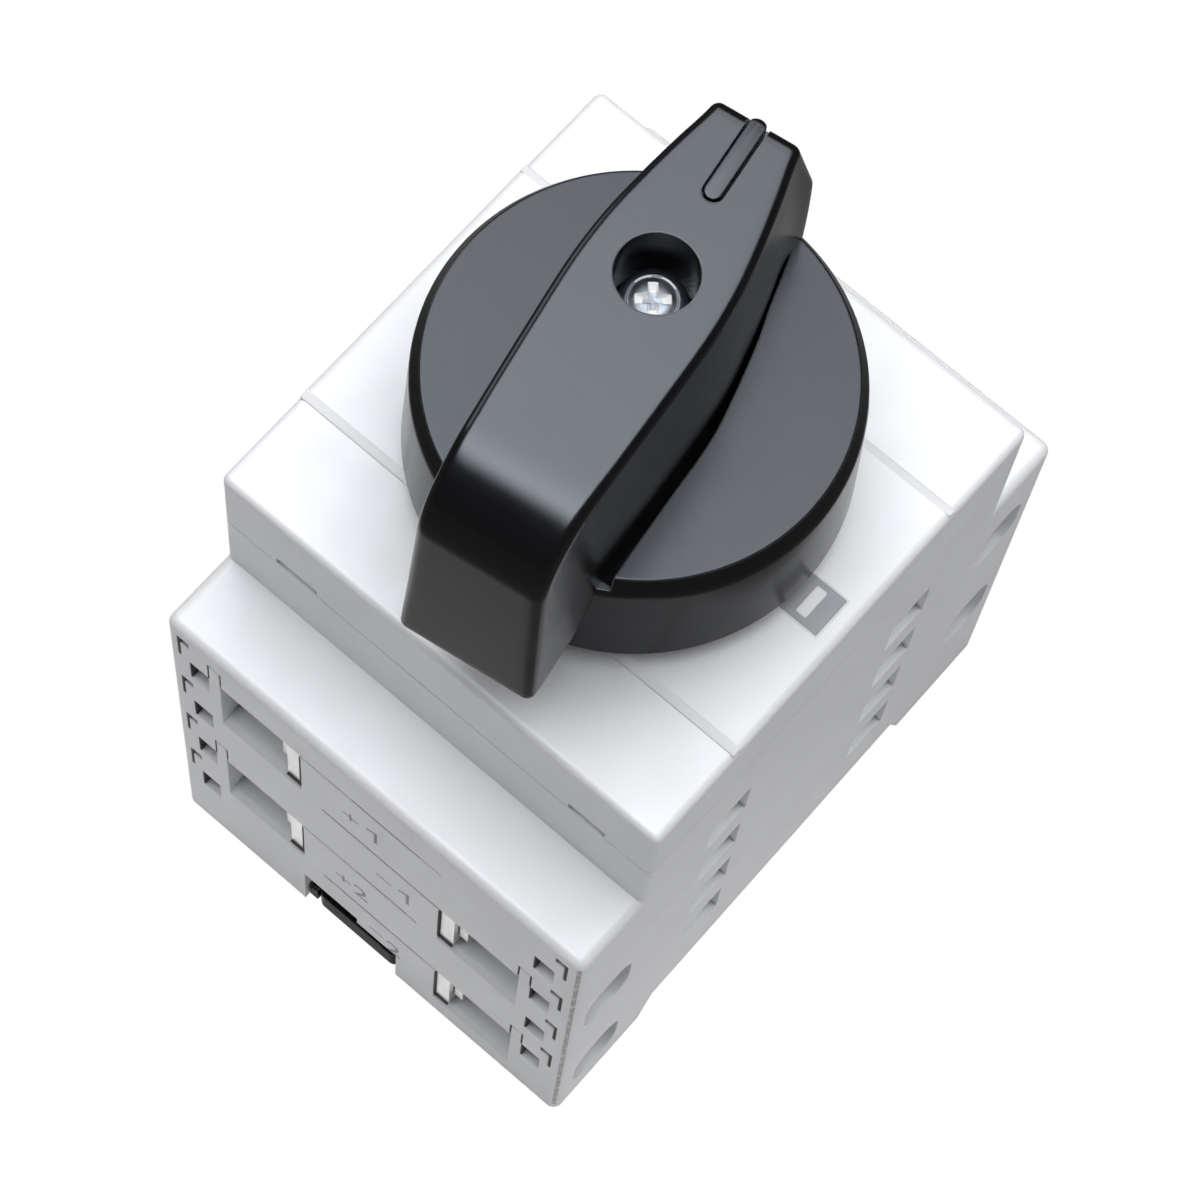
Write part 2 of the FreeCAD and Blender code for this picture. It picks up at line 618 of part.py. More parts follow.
def terminal_screw():
    """The terminal screw, with a slotted head in the side well and its tip on the saddle."""
    tip = SADDLE_OUTER - SADDLE_GAP / 2
    neck = V(SCREW_HEAD_X, SCREW_Y, SCREW_RISE)
    shank = Part.makeCylinder(SCREW_RADIUS, tip - SCREW_HEAD_X, neck, V(1, 0, 0))
    head = Part.makeCylinder(SCREW_HEAD_RADIUS, SCREW_HEAD_LENGTH, neck, V(-1, 0, 0))
    outer = SCREW_HEAD_X - SCREW_HEAD_LENGTH
    r, half = SCREW_HEAD_RADIUS, SCREW_SLOT_WIDTH / 2
    slot = box(outer - OVERSIZE, outer + SCREW_SLOT_DEPTH, SCREW_Y - r, SCREW_Y + r,
               SCREW_RISE - half, SCREW_RISE + half)
    return single(shank.fuse(head).removeSplitter().cut(slot))


def bridge_contact(layer):
    """The moving contact: two blades that grip the fixed blades above and below, joined by two rivets."""
    z = layer_base(layer) + CONTACT_RISE
    outer = BRIDGE_HALF
    inner = outer - BRIDGE_BLADE
    half = BRIDGE_WIDTH / 2
    reach = math.sqrt(BRIDGE_REACH ** 2 - half ** 2)
    hole = disc(ROTOR_HUB_RADIUS + ROTOR_SEAT, z - outer - OVERSIZE, z + outer + OVERSIZE)
    parts = []
    for low, high in ((z - outer, z - inner), (z + inner, z + outer)):
        blade = box(-reach, reach, -half, half, low, high)
        parts.append(blade.fuse(disc(ROTOR_HUB_RADIUS + half, low, high)))
    rivet_x = ROTOR_HUB_RADIUS + half / 2
    for x in (-rivet_x, rivet_x):
        parts.append(disc(RIVET_RADIUS, z - outer, z + outer, x))
    shape = single(fuse_all(parts).cut(hole))
    return turned(shape, BLADE_ANGLE if layer % 2 else 180 - BLADE_ANGLE)


def rotor(layer):
    """The moulded rotor of a layer: a hub with a square bore and a flange each side of the bridge."""
    base = layer_base(layer)
    middle = base + CONTACT_RISE
    gap = BRIDGE_HALF + ROTOR_SEAT
    bottom = base + ROTOR_FLOAT
    if layer == LAYER_COUNT:
        bottom = max(base, RAIL_SEAT) + LAYER_FLOOR + ROTOR_FLOAT
    hub = disc(ROTOR_HUB_RADIUS, bottom, base + LAYER_PITCH)
    lower = disc(ROTOR_FLANGE_RADIUS, middle - gap - ROTOR_FLANGE, middle - gap)
    upper = disc(ROTOR_FLANGE_RADIUS, middle + gap, middle + gap + ROTOR_FLANGE)
    half = SHAFT_SIDE / 2 + SHAFT_FIT
    bore = box(-half, half, -half, half, bottom - OVERSIZE, base + LAYER_PITCH + OVERSIZE)
    return single(fuse_all([hub, lower, upper]).cut(bore))


def drive_shaft():
    """The square steel shaft from the lowest rotor to the handle, with the handle screw's thread."""
    half = SHAFT_SIDE / 2
    bottom = max(layer_base(LAYER_COUNT), RAIL_SEAT) + LAYER_FLOOR + ROTOR_FLOAT
    bar = box(-half, half, -half, half, bottom, SHAFT_TOP_Z)
    return single(bar.cut(disc(HANDLE_SCREW_RADIUS, SHAFT_TOP_Z - HANDLE_SCREW_REACH - OVERSIZE,
                               SHAFT_TOP_Z + OVERSIZE)))


def snap_plate(radius, z0, thickness, post_side, post_top):
    """A round plate on the square shaft with two posts that hold the snap springs."""
    plate = disc(radius, z0, z0 + thickness)
    posts = []
    for side in (-1, 1):
        x = side * SNAP_POST_OFFSET
        y = side * post_side * (SNAP_SPRING_LENGTH / 2 + SNAP_POST_HALF)
        low, high = sorted((z0 + thickness / 2, post_top))
        posts.append(box(x - SNAP_POST_HALF, x + SNAP_POST_HALF, y - SNAP_POST_HALF, y + SNAP_POST_HALF,
                         low, high))
    half = SHAFT_SIDE / 2 + SHAFT_FIT
    body = fuse_all([plate] + posts)
    return single(body.cut(box(-half, half, -half, half, min(z0, post_top) - OVERSIZE,
                               max(z0 + thickness, post_top) + OVERSIZE)))


def snap_carrier():
    """The lower plate of the snap drive, which turns the rotors."""
    return snap_plate(CARRIER_RADIUS, CARRIER_Z, CARRIER_THICKNESS, -1, CAM_Z - ROTOR_FLOAT)


def drive_cam():
    """The upper plate of the snap drive, which the handle turns."""
    return snap_plate(CAM_RADIUS, CAM_Z, CAM_THICKNESS, 1, CARRIER_Z + CARRIER_THICKNESS + ROTOR_FLOAT)


def snap_spring(side):
    """A coil spring between a post of each plate."""
    spring = coil(SNAP_SPRING_RADIUS, SNAP_SPRING_WIRE, SNAP_SPRING_LENGTH, SNAP_SPRING_TURNS)
    spring.rotate(V(0, 0, 0), V(1, 0, 0), -90)
    middle = (CARRIER_Z + CARRIER_THICKNESS + CAM_Z) / 2
    spring.translate(V(side * SNAP_POST_OFFSET, -SNAP_SPRING_LENGTH / 2, middle))
    return spring


def din_clip():
    """The black sliding clip that locks the base to the rail, with its hook and spring post."""
    front = -HALF_LENGTH + CLIP_GRIP_GAP
    hook_end = -RAIL_HALF + HOOK_LIP
    lip_top = RAIL_SEAT - RAIL_PLATE - RAIL_PLAY
    plate = box(CLIP_LOW, CLIP_HIGH, front, hook_end, CLIP_FLOAT, min(CLIP_TOP, lip_top))
    edge = [e for e in edges_along(plate, V(0, 0, 1)) if abs(e.CenterOfMass.y - front) < NEAR]
    plate = plate.makeFillet(CORNER_RADIUS, edge)
    back = CLIP_BACK_Y - CLIP_SIDE_GAP
    post = box(CLIP_LOW + CLIP_WIDTH / 4, CLIP_HIGH - CLIP_WIDTH / 4, back - CLIP_POST, back,
               CLIP_FLOAT, CLIP_TOP + CLIP_POST_HEIGHT)
    return single(fuse_all([plate, post]))


def clip_spring():
    """The coil spring that pushes the clip under the rail."""
    spring = coil(CLIP_SPRING_RADIUS, CLIP_SPRING_WIRE, CLIP_SPRING_LENGTH, CLIP_SPRING_TURNS)
    spring.rotate(V(0, 0, 0), V(1, 0, 0), -90)
    spring.translate(V(CLIP_CENTRE, CLIP_WEB_Y, CLIP_TOP + CLIP_POST_HEIGHT / 2 + CLIP_SPRING_WIRE))
    return spring


def assembly_screws():
    """The four long screws from the base up into the mechanism housing."""
    head_top = RAIL_SEAT + STACK_SCREW_HEAD
    screws = []
    r = STACK_SCREW_HEAD_RADIUS
    for x, y in stack_screw_places():
        shank = disc(STACK_SCREW_RADIUS, RAIL_SEAT, STACK_TOP + STACK_SCREW_BITE - OVERSIZE, x, y)
        head = disc(r, RAIL_SEAT, head_top, x, y)
        slot = box(x - r, x + r, y - RECESS_WIDTH / 2, y + RECESS_WIDTH / 2,
                   RAIL_SEAT - OVERSIZE, head_top - STACK_SCREW_HEAD / 2)
        screws.append(single(shank.fuse(head).removeSplitter().cut(slot)))
    return Part.makeCompound(screws)


def bar_outline(halves, z):
    """The bowed outline of the handle's bar at one height."""
    long_end = BAR_NOSE + 3 * OVERSIZE
    grip_end = -BAR_GRIP - 3 * OVERSIZE
    stations = (long_end, BAR_TIP, BAR_NECK, BAR_WAIST, (BAR_WAIST + grip_end) / 2, grip_end)

    def side(sign):
        nose, tip, neck, waist, flank, grip = [V(sign * half, y, z) for half, y in zip(halves, stations)]
        edges = [Part.LineSegment(nose, tip).toShape(), Part.Arc(tip, neck, waist).toShape(),
                 Part.Arc(waist, flank, grip).toShape()]
        return edges, nose, grip

    right, right_nose, right_grip = side(1)
    left, left_nose, left_grip = side(-1)
    edges = right + [Part.LineSegment(right_grip, left_grip).toShape()] + left
    edges.append(Part.LineSegment(left_nose, right_nose).toShape())
    return Part.Wire(Part.__sortEdges__(edges))


def bar_profile():
    """The bar seen from its side: flat crown, rounded grip end with an arched underside, sloped nose."""
    crown_end = V(0, -BAR_GRIP + BAR_GRIP_LEAN, BAR_Z - BAR_CROWN_DROP)
    crown_start = V(0, -BAR_CROWN_START, BAR_Z)
    reach = crown_start.y - crown_end.y
    drop = crown_start.z - crown_end.z
    radius = (reach ** 2 + drop ** 2) / (2 * drop)
    half_angle = math.asin(reach / radius) / 2
    crown_middle = V(0, crown_start.y - radius * math.sin(half_angle),
                     BAR_Z - radius * (1 - math.cos(half_angle)))
    tip = V(0, BAR_TIP, BAR_Z)
    nose = V(0, BAR_NOSE, BAR_Z - BAR_NOSE_DROP)
    nose_foot = V(0, BAR_NOSE, GROOVE_Z)
    arch = V(0, -BAR_ARCH, BAR_BASE_Z + BAR_ARCH_RISE)
    arch_end = V(0, -SKIRT_EDGE_RADIUS + OVERSIZE, arch.z + BAR_ARCH_DEPTH)
    arch_middle = V(0, (arch.y + arch_end.y) / 2 + BAR_ARCH_BOW, (arch.z + arch_end.z) / 2 - BAR_ARCH_BOW)
    root = V(0, arch_end.y, GROOVE_Z)
    grip = V(0, -BAR_GRIP, BAR_BASE_Z)
    edges = [Part.LineSegment(grip, crown_end), Part.Arc(crown_end, crown_middle, crown_start),
             Part.LineSegment(crown_start, tip), Part.LineSegment(tip, nose),
             Part.LineSegment(nose, nose_foot), Part.LineSegment(nose_foot, root),
             Part.LineSegment(root, arch_end), Part.Arc(arch_end, arch_middle, arch),
             Part.LineSegment(arch, grip)]
    face = Part.Face(Part.Wire([edge.toShape() for edge in edges]))
    face.translate(V(-BAR_GRIP, 0, 0))
    return face.extrude(V(2 * BAR_GRIP, 0, 0))


def bar_solid():
    """The handle's bar: a drafted loft between two bowed outlines, trimmed to its side profile."""
    lower = bar_outline(FOOT_HALVES, BAR_BASE_Z)
    upper = bar_outline(CROWN_HALVES, BAR_Z)
    bar = Part.makeLoft([lower, upper], True, True).common(bar_profile())
    return bar.makeChamfer(BAR_EDGE, bar_rim_edges(bar))


def bar_rim_edges(bar):
    """The edges round the bar's crown and down the corners of its grip."""
    found = []
    for edge in bar.Edges:
        b = edge.BoundBox
        upright = b.ZLength > OVERSIZE
        crown = b.ZMin > BAR_Z - ROUGHLY and (b.YLength > ROUGHLY or b.YMin > 0)
        grip = abs(b.ZMax - BAR_Z) < ROUGHLY and upright and b.YMax < 0
        corner = b.YMax < BAR_GRIP_LEAN - BAR_GRIP + OVERSIZE and upright
        if crown or grip or corner:
            found.append(edge)
    return found


def handle():
    """The moulded handle: hollow round skirt, groove each side of the drafted bar, hub on the shaft."""
    profile = [V(0, 0, SKIRT_Z), V(SKIRT_BASE_RADIUS, 0, SKIRT_Z),
               V(SKIRT_EDGE_RADIUS, 0, FACE_Z - SKIRT_BEVEL), V(SKIRT_FACE_RADIUS, 0, FACE_Z),
               V(0, 0, FACE_Z)]
    skirt = Part.Face(Part.makePolygon(profile + profile[:1])).revolve(V(0, 0, 0), V(0, 0, 1), 360)
    inner = SKIRT_EDGE_RADIUS - HANDLE_WALL
    moat = Part.Face(bar_outline(GROOVE_HALVES, GROOVE_Z)).extrude(V(0, 0, GROOVE_DEPTH + OVERSIZE))
    rim = disc(SKIRT_BASE_RADIUS + OVERSIZE, GROOVE_Z - OVERSIZE, FACE_Z - SKIRT_BEVEL).cut(
        disc(inner, GROOVE_Z - 2 * OVERSIZE, FACE_Z))
    body = fuse_all([skirt.Solids[0].cut(moat.cut(rim)), bar_solid()])
    hub_low = SEAM_Z + WALL
    hollow = disc(inner, SKIRT_Z - OVERSIZE, GROOVE_Z - HANDLE_WALL).cut(
        disc(HUB_RADIUS, SKIRT_Z - 2 * OVERSIZE, GROOVE_Z))
    tools = [hollow, disc(SCREW_WELL_RADIUS, WELL_Z, BAR_Z + OVERSIZE),
             disc(HANDLE_SCREW_RADIUS + SHAFT_FIT, SHAFT_TOP_Z - OVERSIZE, WELL_Z + OVERSIZE),
             insert_shape(INSERT_GAP, OVERSIZE)]
    hub = disc(HUB_RADIUS, hub_low, SKIRT_Z + OVERSIZE)
    body = turned(fuse_all([cut_all(body, tools), hub]), HANDLE_TURN)
    half = SHAFT_SIDE / 2 + SHAFT_FIT
    return cut_all(body, [box(-half, half, -half, half, hub_low - OVERSIZE, SHAFT_TOP_Z)])


def insert_shape(gap, above):
    """The pointer's inlay, or with a gap the slot that it sits in."""
    half = INSERT_WIDTH / 2 + gap
    inner = BAR_TIP - INSERT_LENGTH + INSERT_WIDTH / 2
    outer = BAR_TIP + (OVERSIZE if gap else INSERT_NUB)
    z0, z1 = BAR_Z - INSERT_DEPTH, BAR_Z + above
    bar = box(-half, half, inner, outer, z0, z1)
    return bar.fuse(disc(half, z0, z1, 0.0, inner)).removeSplitter()


def pointer_insert():
    """The inlay that marks the pointer, with a rounded nub at its outer end."""
    shape = insert_shape(0.0, 0.0)
    end = [edge for edge in edges_at_height(shape, BAR_Z)
           if abs(edge.CenterOfMass.y - BAR_TIP - INSERT_NUB) < NEAR]
    shape = shape.makeFillet(INSERT_WIDTH / 3, end)
    return turned(single(shape), HANDLE_TURN)


def handle_washer():
    """The spring washer under the handle screw."""
    return disc(WASHER_RADIUS, WELL_Z, WELL_Z + WASHER_THICKNESS).cut(
        disc(HANDLE_SCREW_RADIUS + SHAFT_FIT, WELL_Z - OVERSIZE, WELL_Z + WASHER_THICKNESS + OVERSIZE))


def handle_screw():
    """The pan-head screw that fixes the handle to the shaft, with a cross recess."""
    low = WELL_Z + WASHER_THICKNESS
    rim = low + HANDLE_SCREW_HEAD - HANDLE_SCREW_CROWN
    top = low + HANDLE_SCREW_HEAD
    bottom = SHAFT_TOP_Z - HANDLE_SCREW_REACH
    r = HANDLE_SCREW_HEAD_RADIUS
    shoulder = V(r * math.sqrt(0.5), 0, rim + HANDLE_SCREW_CROWN * math.sqrt(0.5))
    lines = [Part.LineSegment(V(0, 0, bottom), V(HANDLE_SCREW_RADIUS, 0, bottom)),
             Part.LineSegment(V(HANDLE_SCREW_RADIUS, 0, bottom), V(HANDLE_SCREW_RADIUS, 0, low)),
             Part.LineSegment(V(HANDLE_SCREW_RADIUS, 0, low), V(r, 0, low)),
             Part.LineSegment(V(r, 0, low), V(r, 0, rim)),
             Part.Arc(V(r, 0, rim), shoulder, V(0, 0, top)),
             Part.LineSegment(V(0, 0, top), V(0, 0, bottom))]
    face = Part.Face(Part.Wire([line.toShape() for line in lines]))
    body = face.revolve(V(0, 0, 0), V(0, 0, 1), 360)
    solid = body.Solids[0]
    half = RECESS_LENGTH / 2
    cross = [box(-half, half, -RECESS_WIDTH / 2, RECESS_WIDTH / 2, top - RECESS_DEPTH, top + OVERSIZE),
             box(-RECESS_WIDTH / 2, RECESS_WIDTH / 2, -half, half, top - RECESS_DEPTH, top + OVERSIZE)]
    return turned(cut_all(solid, cross), HANDLE_TURN)


def save(shape, name):
    """Writes one sub-part."""
    shape.exportStep(os.path.join("parts", name + ".step"))


def main():
    os.makedirs("parts", exist_ok=True)
    save(rail_base(), "rail_base")
    save(mechanism_housing(), "mechanism_housing")
    save(top_cover(), "top_cover")
    for layer in range(1, LAYER_COUNT):
        save(contact_housing(layer), "contact_housing_%d" % layer)
    contact, frame, saddle, screw = fixed_contact(), terminal_frame(), clamp_saddle(), terminal_screw()
    for layer in range(1, LAYER_COUNT + 1):
        save(rotor(layer), "rotor_%d" % layer)
        save(bridge_contact(layer), "bridge_contact_%d" % layer)
        for end in ("near", "far"):
            tag = "_%s_%d" % (end, layer)
            save(at_terminal(contact, layer, end), "fixed_contact" + tag)
            save(at_terminal(frame, layer, end), "terminal_frame" + tag)
            save(at_terminal(saddle, layer, end), "clamp_saddle" + tag)
            save(at_terminal(screw, layer, end), "terminal_screw" + tag)
    save(drive_shaft(), "drive_shaft")
    save(snap_carrier(), "snap_carrier")
    save(drive_cam(), "drive_cam")
    save(snap_spring(-1), "snap_spring_left")
    save(snap_spring(1), "snap_spring_right")
    save(din_clip(), "din_clip")
    save(clip_spring(), "clip_spring")
    save(assembly_screws(), "assembly_screws")
    save(handle(), "handle")
    save(pointer_insert(), "pointer_insert")
    save(handle_washer(), "handle_washer")
    save(handle_screw(), "handle_screw")


main()
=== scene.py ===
"""Looks of the rotary switch disconnector: materials, moulded handle, printed marks, light and camera."""
import bpy
import bmesh
import json
import math
from mathutils import Matrix, Vector
from mathutils.geometry import delaunay_2d_cdt


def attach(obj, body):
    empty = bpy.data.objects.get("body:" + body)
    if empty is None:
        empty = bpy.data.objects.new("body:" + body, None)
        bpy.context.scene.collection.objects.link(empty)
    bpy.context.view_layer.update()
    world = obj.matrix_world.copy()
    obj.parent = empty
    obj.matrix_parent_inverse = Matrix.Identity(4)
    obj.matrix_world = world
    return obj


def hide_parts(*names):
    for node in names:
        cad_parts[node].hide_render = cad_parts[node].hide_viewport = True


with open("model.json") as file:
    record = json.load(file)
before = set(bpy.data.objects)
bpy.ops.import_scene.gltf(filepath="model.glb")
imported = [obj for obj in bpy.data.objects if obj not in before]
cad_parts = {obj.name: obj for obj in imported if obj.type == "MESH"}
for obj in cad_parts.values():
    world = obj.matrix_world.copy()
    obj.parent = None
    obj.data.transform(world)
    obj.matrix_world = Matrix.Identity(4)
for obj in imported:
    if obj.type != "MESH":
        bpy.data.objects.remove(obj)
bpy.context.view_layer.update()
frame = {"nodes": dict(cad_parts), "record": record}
MM = 0.001


# Node tree helpers
def new_material(name):
    material = bpy.data.materials.new(name)
    material.use_nodes = True
    tree = material.node_tree
    return material, tree, tree.nodes["Principled BSDF"]


def link(tree, a, b):
    tree.links.new(a, b)


def noise(tree, scale, detail=4.0, rough=0.55, stretch=None):
    """A noise texture on object coordinates, which are metres in the row's frame."""
    coords = tree.nodes.new("ShaderNodeTexCoord")
    tex = tree.nodes.new("ShaderNodeTexNoise")
    tex.inputs["Scale"].default_value = scale
    tex.inputs["Detail"].default_value = detail
    tex.inputs["Roughness"].default_value = rough
    if stretch:
        mapping = tree.nodes.new("ShaderNodeMapping")
        mapping.inputs["Scale"].default_value = stretch
        link(tree, coords.outputs["Object"], mapping.inputs["Vector"])
        link(tree, mapping.outputs["Vector"], tex.inputs["Vector"])
    else:
        link(tree, coords.outputs["Object"], tex.inputs["Vector"])
    return tex


def ramp(tree, source, stops):
    node = tree.nodes.new("ShaderNodeValToRGB")
    elements = node.color_ramp.elements
    while len(elements) < len(stops):
        elements.new(0.5)
    for element, (position, value) in zip(elements, stops):
        element.position = position
        element.color = (value, value, value, 1.0) if isinstance(value, float) else (*value, 1.0)
    link(tree, source, node.inputs["Fac"])
    return node.outputs["Color"]


def rounded_normal(tree, radius, bump_source=None, strength=0.1, distance=0.0001):
    """Softly rounded edges from a bevel node, with the moulding's grain on top."""
    bevel = tree.nodes.new("ShaderNodeBevel")
    bevel.samples = 6
    bevel.inputs["Radius"].default_value = radius
    if bump_source is None:
        return bevel.outputs["Normal"]
    bump = tree.nodes.new("ShaderNodeBump")
    bump.inputs["Strength"].default_value = strength
    bump.inputs["Distance"].default_value = distance
    link(tree, bump_source, bump.inputs["Height"])
    link(tree, bevel.outputs["Normal"], bump.inputs["Normal"])
    return bump.outputs["Normal"]


# Painted shade: how far the base colour darkens where the ambient-occlusion node finds the surface hemmed in
CREVICE_SHADE_TONE = ((0.0, 0.02), (0.22, 0.14), (0.4, 0.62), (0.52, 1.0))


def plastic(name, low, high, roughness, grain=2600.0, grain_strength=0.12, edge=0.00025, spread=0.05,
            crevice_shade=0.0):
    """A moulded plastic: slight tone drift, grain, softly rounded edges and painted shade that darkens its
    crevices.
    """
    material, tree, bsdf = new_material(name)
    drift = noise(tree, 60.0, 3.0)
    tone = ramp(tree, drift.outputs["Fac"], [(0.3, low), (0.7, high)])
    # Painted shade: the base colour is multiplied down in crevices, corners and recesses, where shade falls
    if crevice_shade:
        depth = tree.nodes.new("ShaderNodeAmbientOcclusion")
        depth.samples = 8
        depth.inputs["Distance"].default_value = crevice_shade
        dark = tree.nodes.new("ShaderNodeMix")
        dark.data_type = "RGBA"
        dark.blend_type = "MULTIPLY"
        dark.inputs["Factor"].default_value = 1.0
        link(tree, tone, dark.inputs["A"])
        link(tree, ramp(tree, depth.outputs["AO"], CREVICE_SHADE_TONE), dark.inputs["B"])
        tone = dark.outputs["Result"]
    link(tree, tone, bsdf.inputs["Base Color"])
    fine = noise(tree, grain, 3.0, 0.6)
    wear = noise(tree, 180.0, 4.0)
    link(tree, ramp(tree, wear.outputs["Fac"], [(0.3, roughness - spread), (0.7, roughness + spread)]),
         bsdf.inputs["Roughness"])
    link(tree, rounded_normal(tree, edge, fine.outputs["Fac"], grain_strength), bsdf.inputs["Normal"])
    bsdf.inputs["IOR"].default_value = 1.5
    return material


def satin_black(name, front_gloss, side_gloss=0.06):
    """The handle's black moulding: an even gloss that stays dark edge on, and sharp edges painted lighter as
    a highlight.
    """
    material = plastic(name, (0.004, 0.0042, 0.005), (0.006, 0.0062, 0.007), 0.20,
                       grain=3200.0, grain_strength=0.05, edge=0.0003, spread=0.02)
    tree = material.node_tree
    base = tree.nodes["Principled BSDF"].inputs["Base Color"]
    black = base.links[0].from_socket
    # Painted highlight: where the bevel normal turns away from the true normal, at sharp edges, the base
    # colour is lifted to a light grey
    bevel = tree.nodes.new("ShaderNodeBevel")
    bevel.samples = 6
    bevel.inputs["Radius"].default_value = 0.00032
    surface = tree.nodes.new("ShaderNodeNewGeometry")
    turn = tree.nodes.new("ShaderNodeVectorMath")
    turn.operation = "DOT_PRODUCT"
    link(tree, bevel.outputs["Normal"], turn.inputs[0])
    link(tree, surface.outputs["Normal"], turn.inputs[1])
    edge_highlight = tree.nodes.new("ShaderNodeMix")
    edge_highlight.data_type = "RGBA"
    link(tree, ramp(tree, turn.outputs["Value"], [(0.84, 1.0), (0.98, 0.0)]), edge_highlight.inputs["Factor"])
    link(tree, black, edge_highlight.inputs["A"])
    edge_highlight.inputs["B"].default_value = (0.20, 0.21, 0.23, 1.0)
    link(tree, edge_highlight.outputs["Result"], base)
    facing = tree.nodes.new("ShaderNodeLayerWeight")
    facing.inputs["Blend"].default_value = 0.5
    stops = [(0.0, front_gloss), (0.15, 0.92 * front_gloss), (0.4, 0.4 * front_gloss), (0.6, side_gloss),
             (0.7, side_gloss), (0.8, 1.6 * side_gloss), (1.0, 3.0 * side_gloss)]
    link(tree, ramp(tree, facing.outputs["Facing"], stops),
         tree.nodes["Principled BSDF"].inputs["Specular IOR Level"])
    return material


def metal(name, low, high, roughness, stretch=(1.0, 1.0, 12.0), edge=0.00015, strength=0.15):
    """A bright metal with drawn or rolled grain."""
    material, tree, bsdf = new_material(name)
    bsdf.inputs["Metallic"].default_value = 1.0
    tone = noise(tree, 220.0, 4.0, 0.6)
    link(tree, ramp(tree, tone.outputs["Fac"], [(0.3, low), (0.7, high)]), bsdf.inputs["Base Color"])
    lines = noise(tree, 900.0, 4.0, 0.6, stretch)
    link(tree, ramp(tree, lines.outputs["Fac"], [(0.3, roughness * 0.7), (0.7, roughness * 1.3)]),
         bsdf.inputs["Roughness"])
    link(tree, rounded_normal(tree, edge, lines.outputs["Fac"], strength, 0.00001), bsdf.inputs["Normal"])
    return material


MATERIALS = {
    # The housing's moulding carries painted shade in its crevices
    "housing_plastic": plastic("light_grey_moulding", (0.825, 0.83, 0.848), (0.855, 0.86, 0.876), 0.45,
                               crevice_shade=0.0035),
    "handle_plastic": satin_black("black_satin_moulding", 0.5),
    "clip_plastic": satin_black("black_clip_moulding", 0.07, 0.003),
    "mechanism_plastic": plastic("dark_reinforced_moulding", (0.03, 0.03, 0.034), (0.05, 0.05, 0.055), 0.5),
    "steel": metal("zinc_plated_steel", (0.60, 0.60, 0.60), (0.74, 0.74, 0.73), 0.28),
    "spring_steel": metal("spring_wire", (0.36, 0.36, 0.37), (0.48, 0.48, 0.49), 0.3, (1.0, 8.0, 1.0)),
    "plated_contact": metal("silver_plated_strip", (0.70, 0.70, 0.69), (0.80, 0.80, 0.79), 0.36,
                            (3.0, 3.0, 0.15), strength=0.1),
    "chrome": metal("bright_plated_screw", (0.17, 0.175, 0.18), (0.25, 0.255, 0.26), 0.42),
}
SLOTS = {part["node"]: part["material_slot"] for part in frame["record"]["subparts"]}
for node, obj in frame["nodes"].items():
    if obj.type == "MESH":
        obj.data.materials.clear()
        obj.data.materials.append(MATERIALS[SLOTS[node]])


# The moulded handle, in its own axes: Y along the bar towards the pointer, turned at the end
TURN = math.radians(9.0)
FACE_Z, CROWN_Z, FOOT_Z = 132.9, 161.6, 120.8
SKIRT_Z, BEVEL_Z = 111.6, 130.8
R_FACE, R_BEVEL, R_SKIRT, R_INNER = 26.6, 27.7, 28.6, 25.3
GROOVE_FLOOR, GROOVE_SHELF = 123.9, 130.9
ARM_SLOT = ((11.2, -24.6), (-11.2, -24.6), (-11.2, -30.0), (11.2, -30.0))
TIP, NOSE, NOSE_Z = 22.6, 27.0, 146.6
CROWN_START, FRONT_TOP, FRONT_TOP_Z, FRONT_FOOT = -26.5, -37.9, 151.6, -39.6
ARCH, ARCH_Z, ARCH_END, ARCH_END_Z, ARCH_BOW = -33.5, 123.0, -26.7, 129.0, 1.2
BASE_Z, ROOT, PLATE_Z = 122.6, -25.6, 121.6
HUB_R, HUB_Z, SOCKET_R, SOCKET_Z = 9.45, 94.2, 4.2, 121.0
GROOVE_TOP, GROOVE_END = 30.0, -24.7
WELL_R, WELL_Z = 5.1, 148.1
POINTER_INNER, POINTER_OUTER, POINTER_HALF = 12.4, 22.35, 1.075
POINTER_FOOT, POINTER_SINK = 159.3, 0.02
SLOT_HALF, SLOT_DEPTH, SLOT_SHIFT = 1.42, 2.4, (0.1, -0.08)
# Half widths along the bar: y, at the crown, at the disc's level, at the groove's edge
STATIONS = ((30.0, 5.55, 7.6, 5.6), (22.6, 5.75, 7.15, 7.3), (16.0, 7.15, 8.3, 8.6), (10.75, 8.2, 9.3, 9.8),
            (4.0, 9.25, 10.3, 10.9), (-3.0, 9.65, 10.7, 11.65), (-13.0, 9.35, 10.35, 11.35),
            (-22.0, 8.95, 9.85, 11.1), (-30.0, 8.6, 9.45, 11.0), (-43.0, 8.0, 8.9, 11.0))


def smooth_table(column):
    """A smooth curve through one column of the stations, by Catmull-Rom slopes."""
    ys = [row[0] for row in STATIONS][::-1]
    vs = [row[column] for row in STATIONS][::-1]

    def value(y):
        y = max(ys[0], min(ys[-1], y))
        i = max(j for j in range(len(ys) - 1) if ys[j] <= y)
        h = ys[i + 1] - ys[i]
        t = (y - ys[i]) / h
        slopes = []
        for k in (i, i + 1):
            a, b = max(k - 1, 0), min(k + 1, len(ys) - 1)
            slopes.append((vs[b] - vs[a]) / (ys[b] - ys[a]))
        return ((2 * t ** 3 - 3 * t ** 2 + 1) * vs[i] + (t ** 3 - 2 * t ** 2 + t) * h * slopes[0]
                + (-2 * t ** 3 + 3 * t ** 2) * vs[i + 1] + (t ** 3 - t ** 2) * h * slopes[1])
    return value


crown_half, disc_half, groove_half = smooth_table(1), smooth_table(2), smooth_table(3)


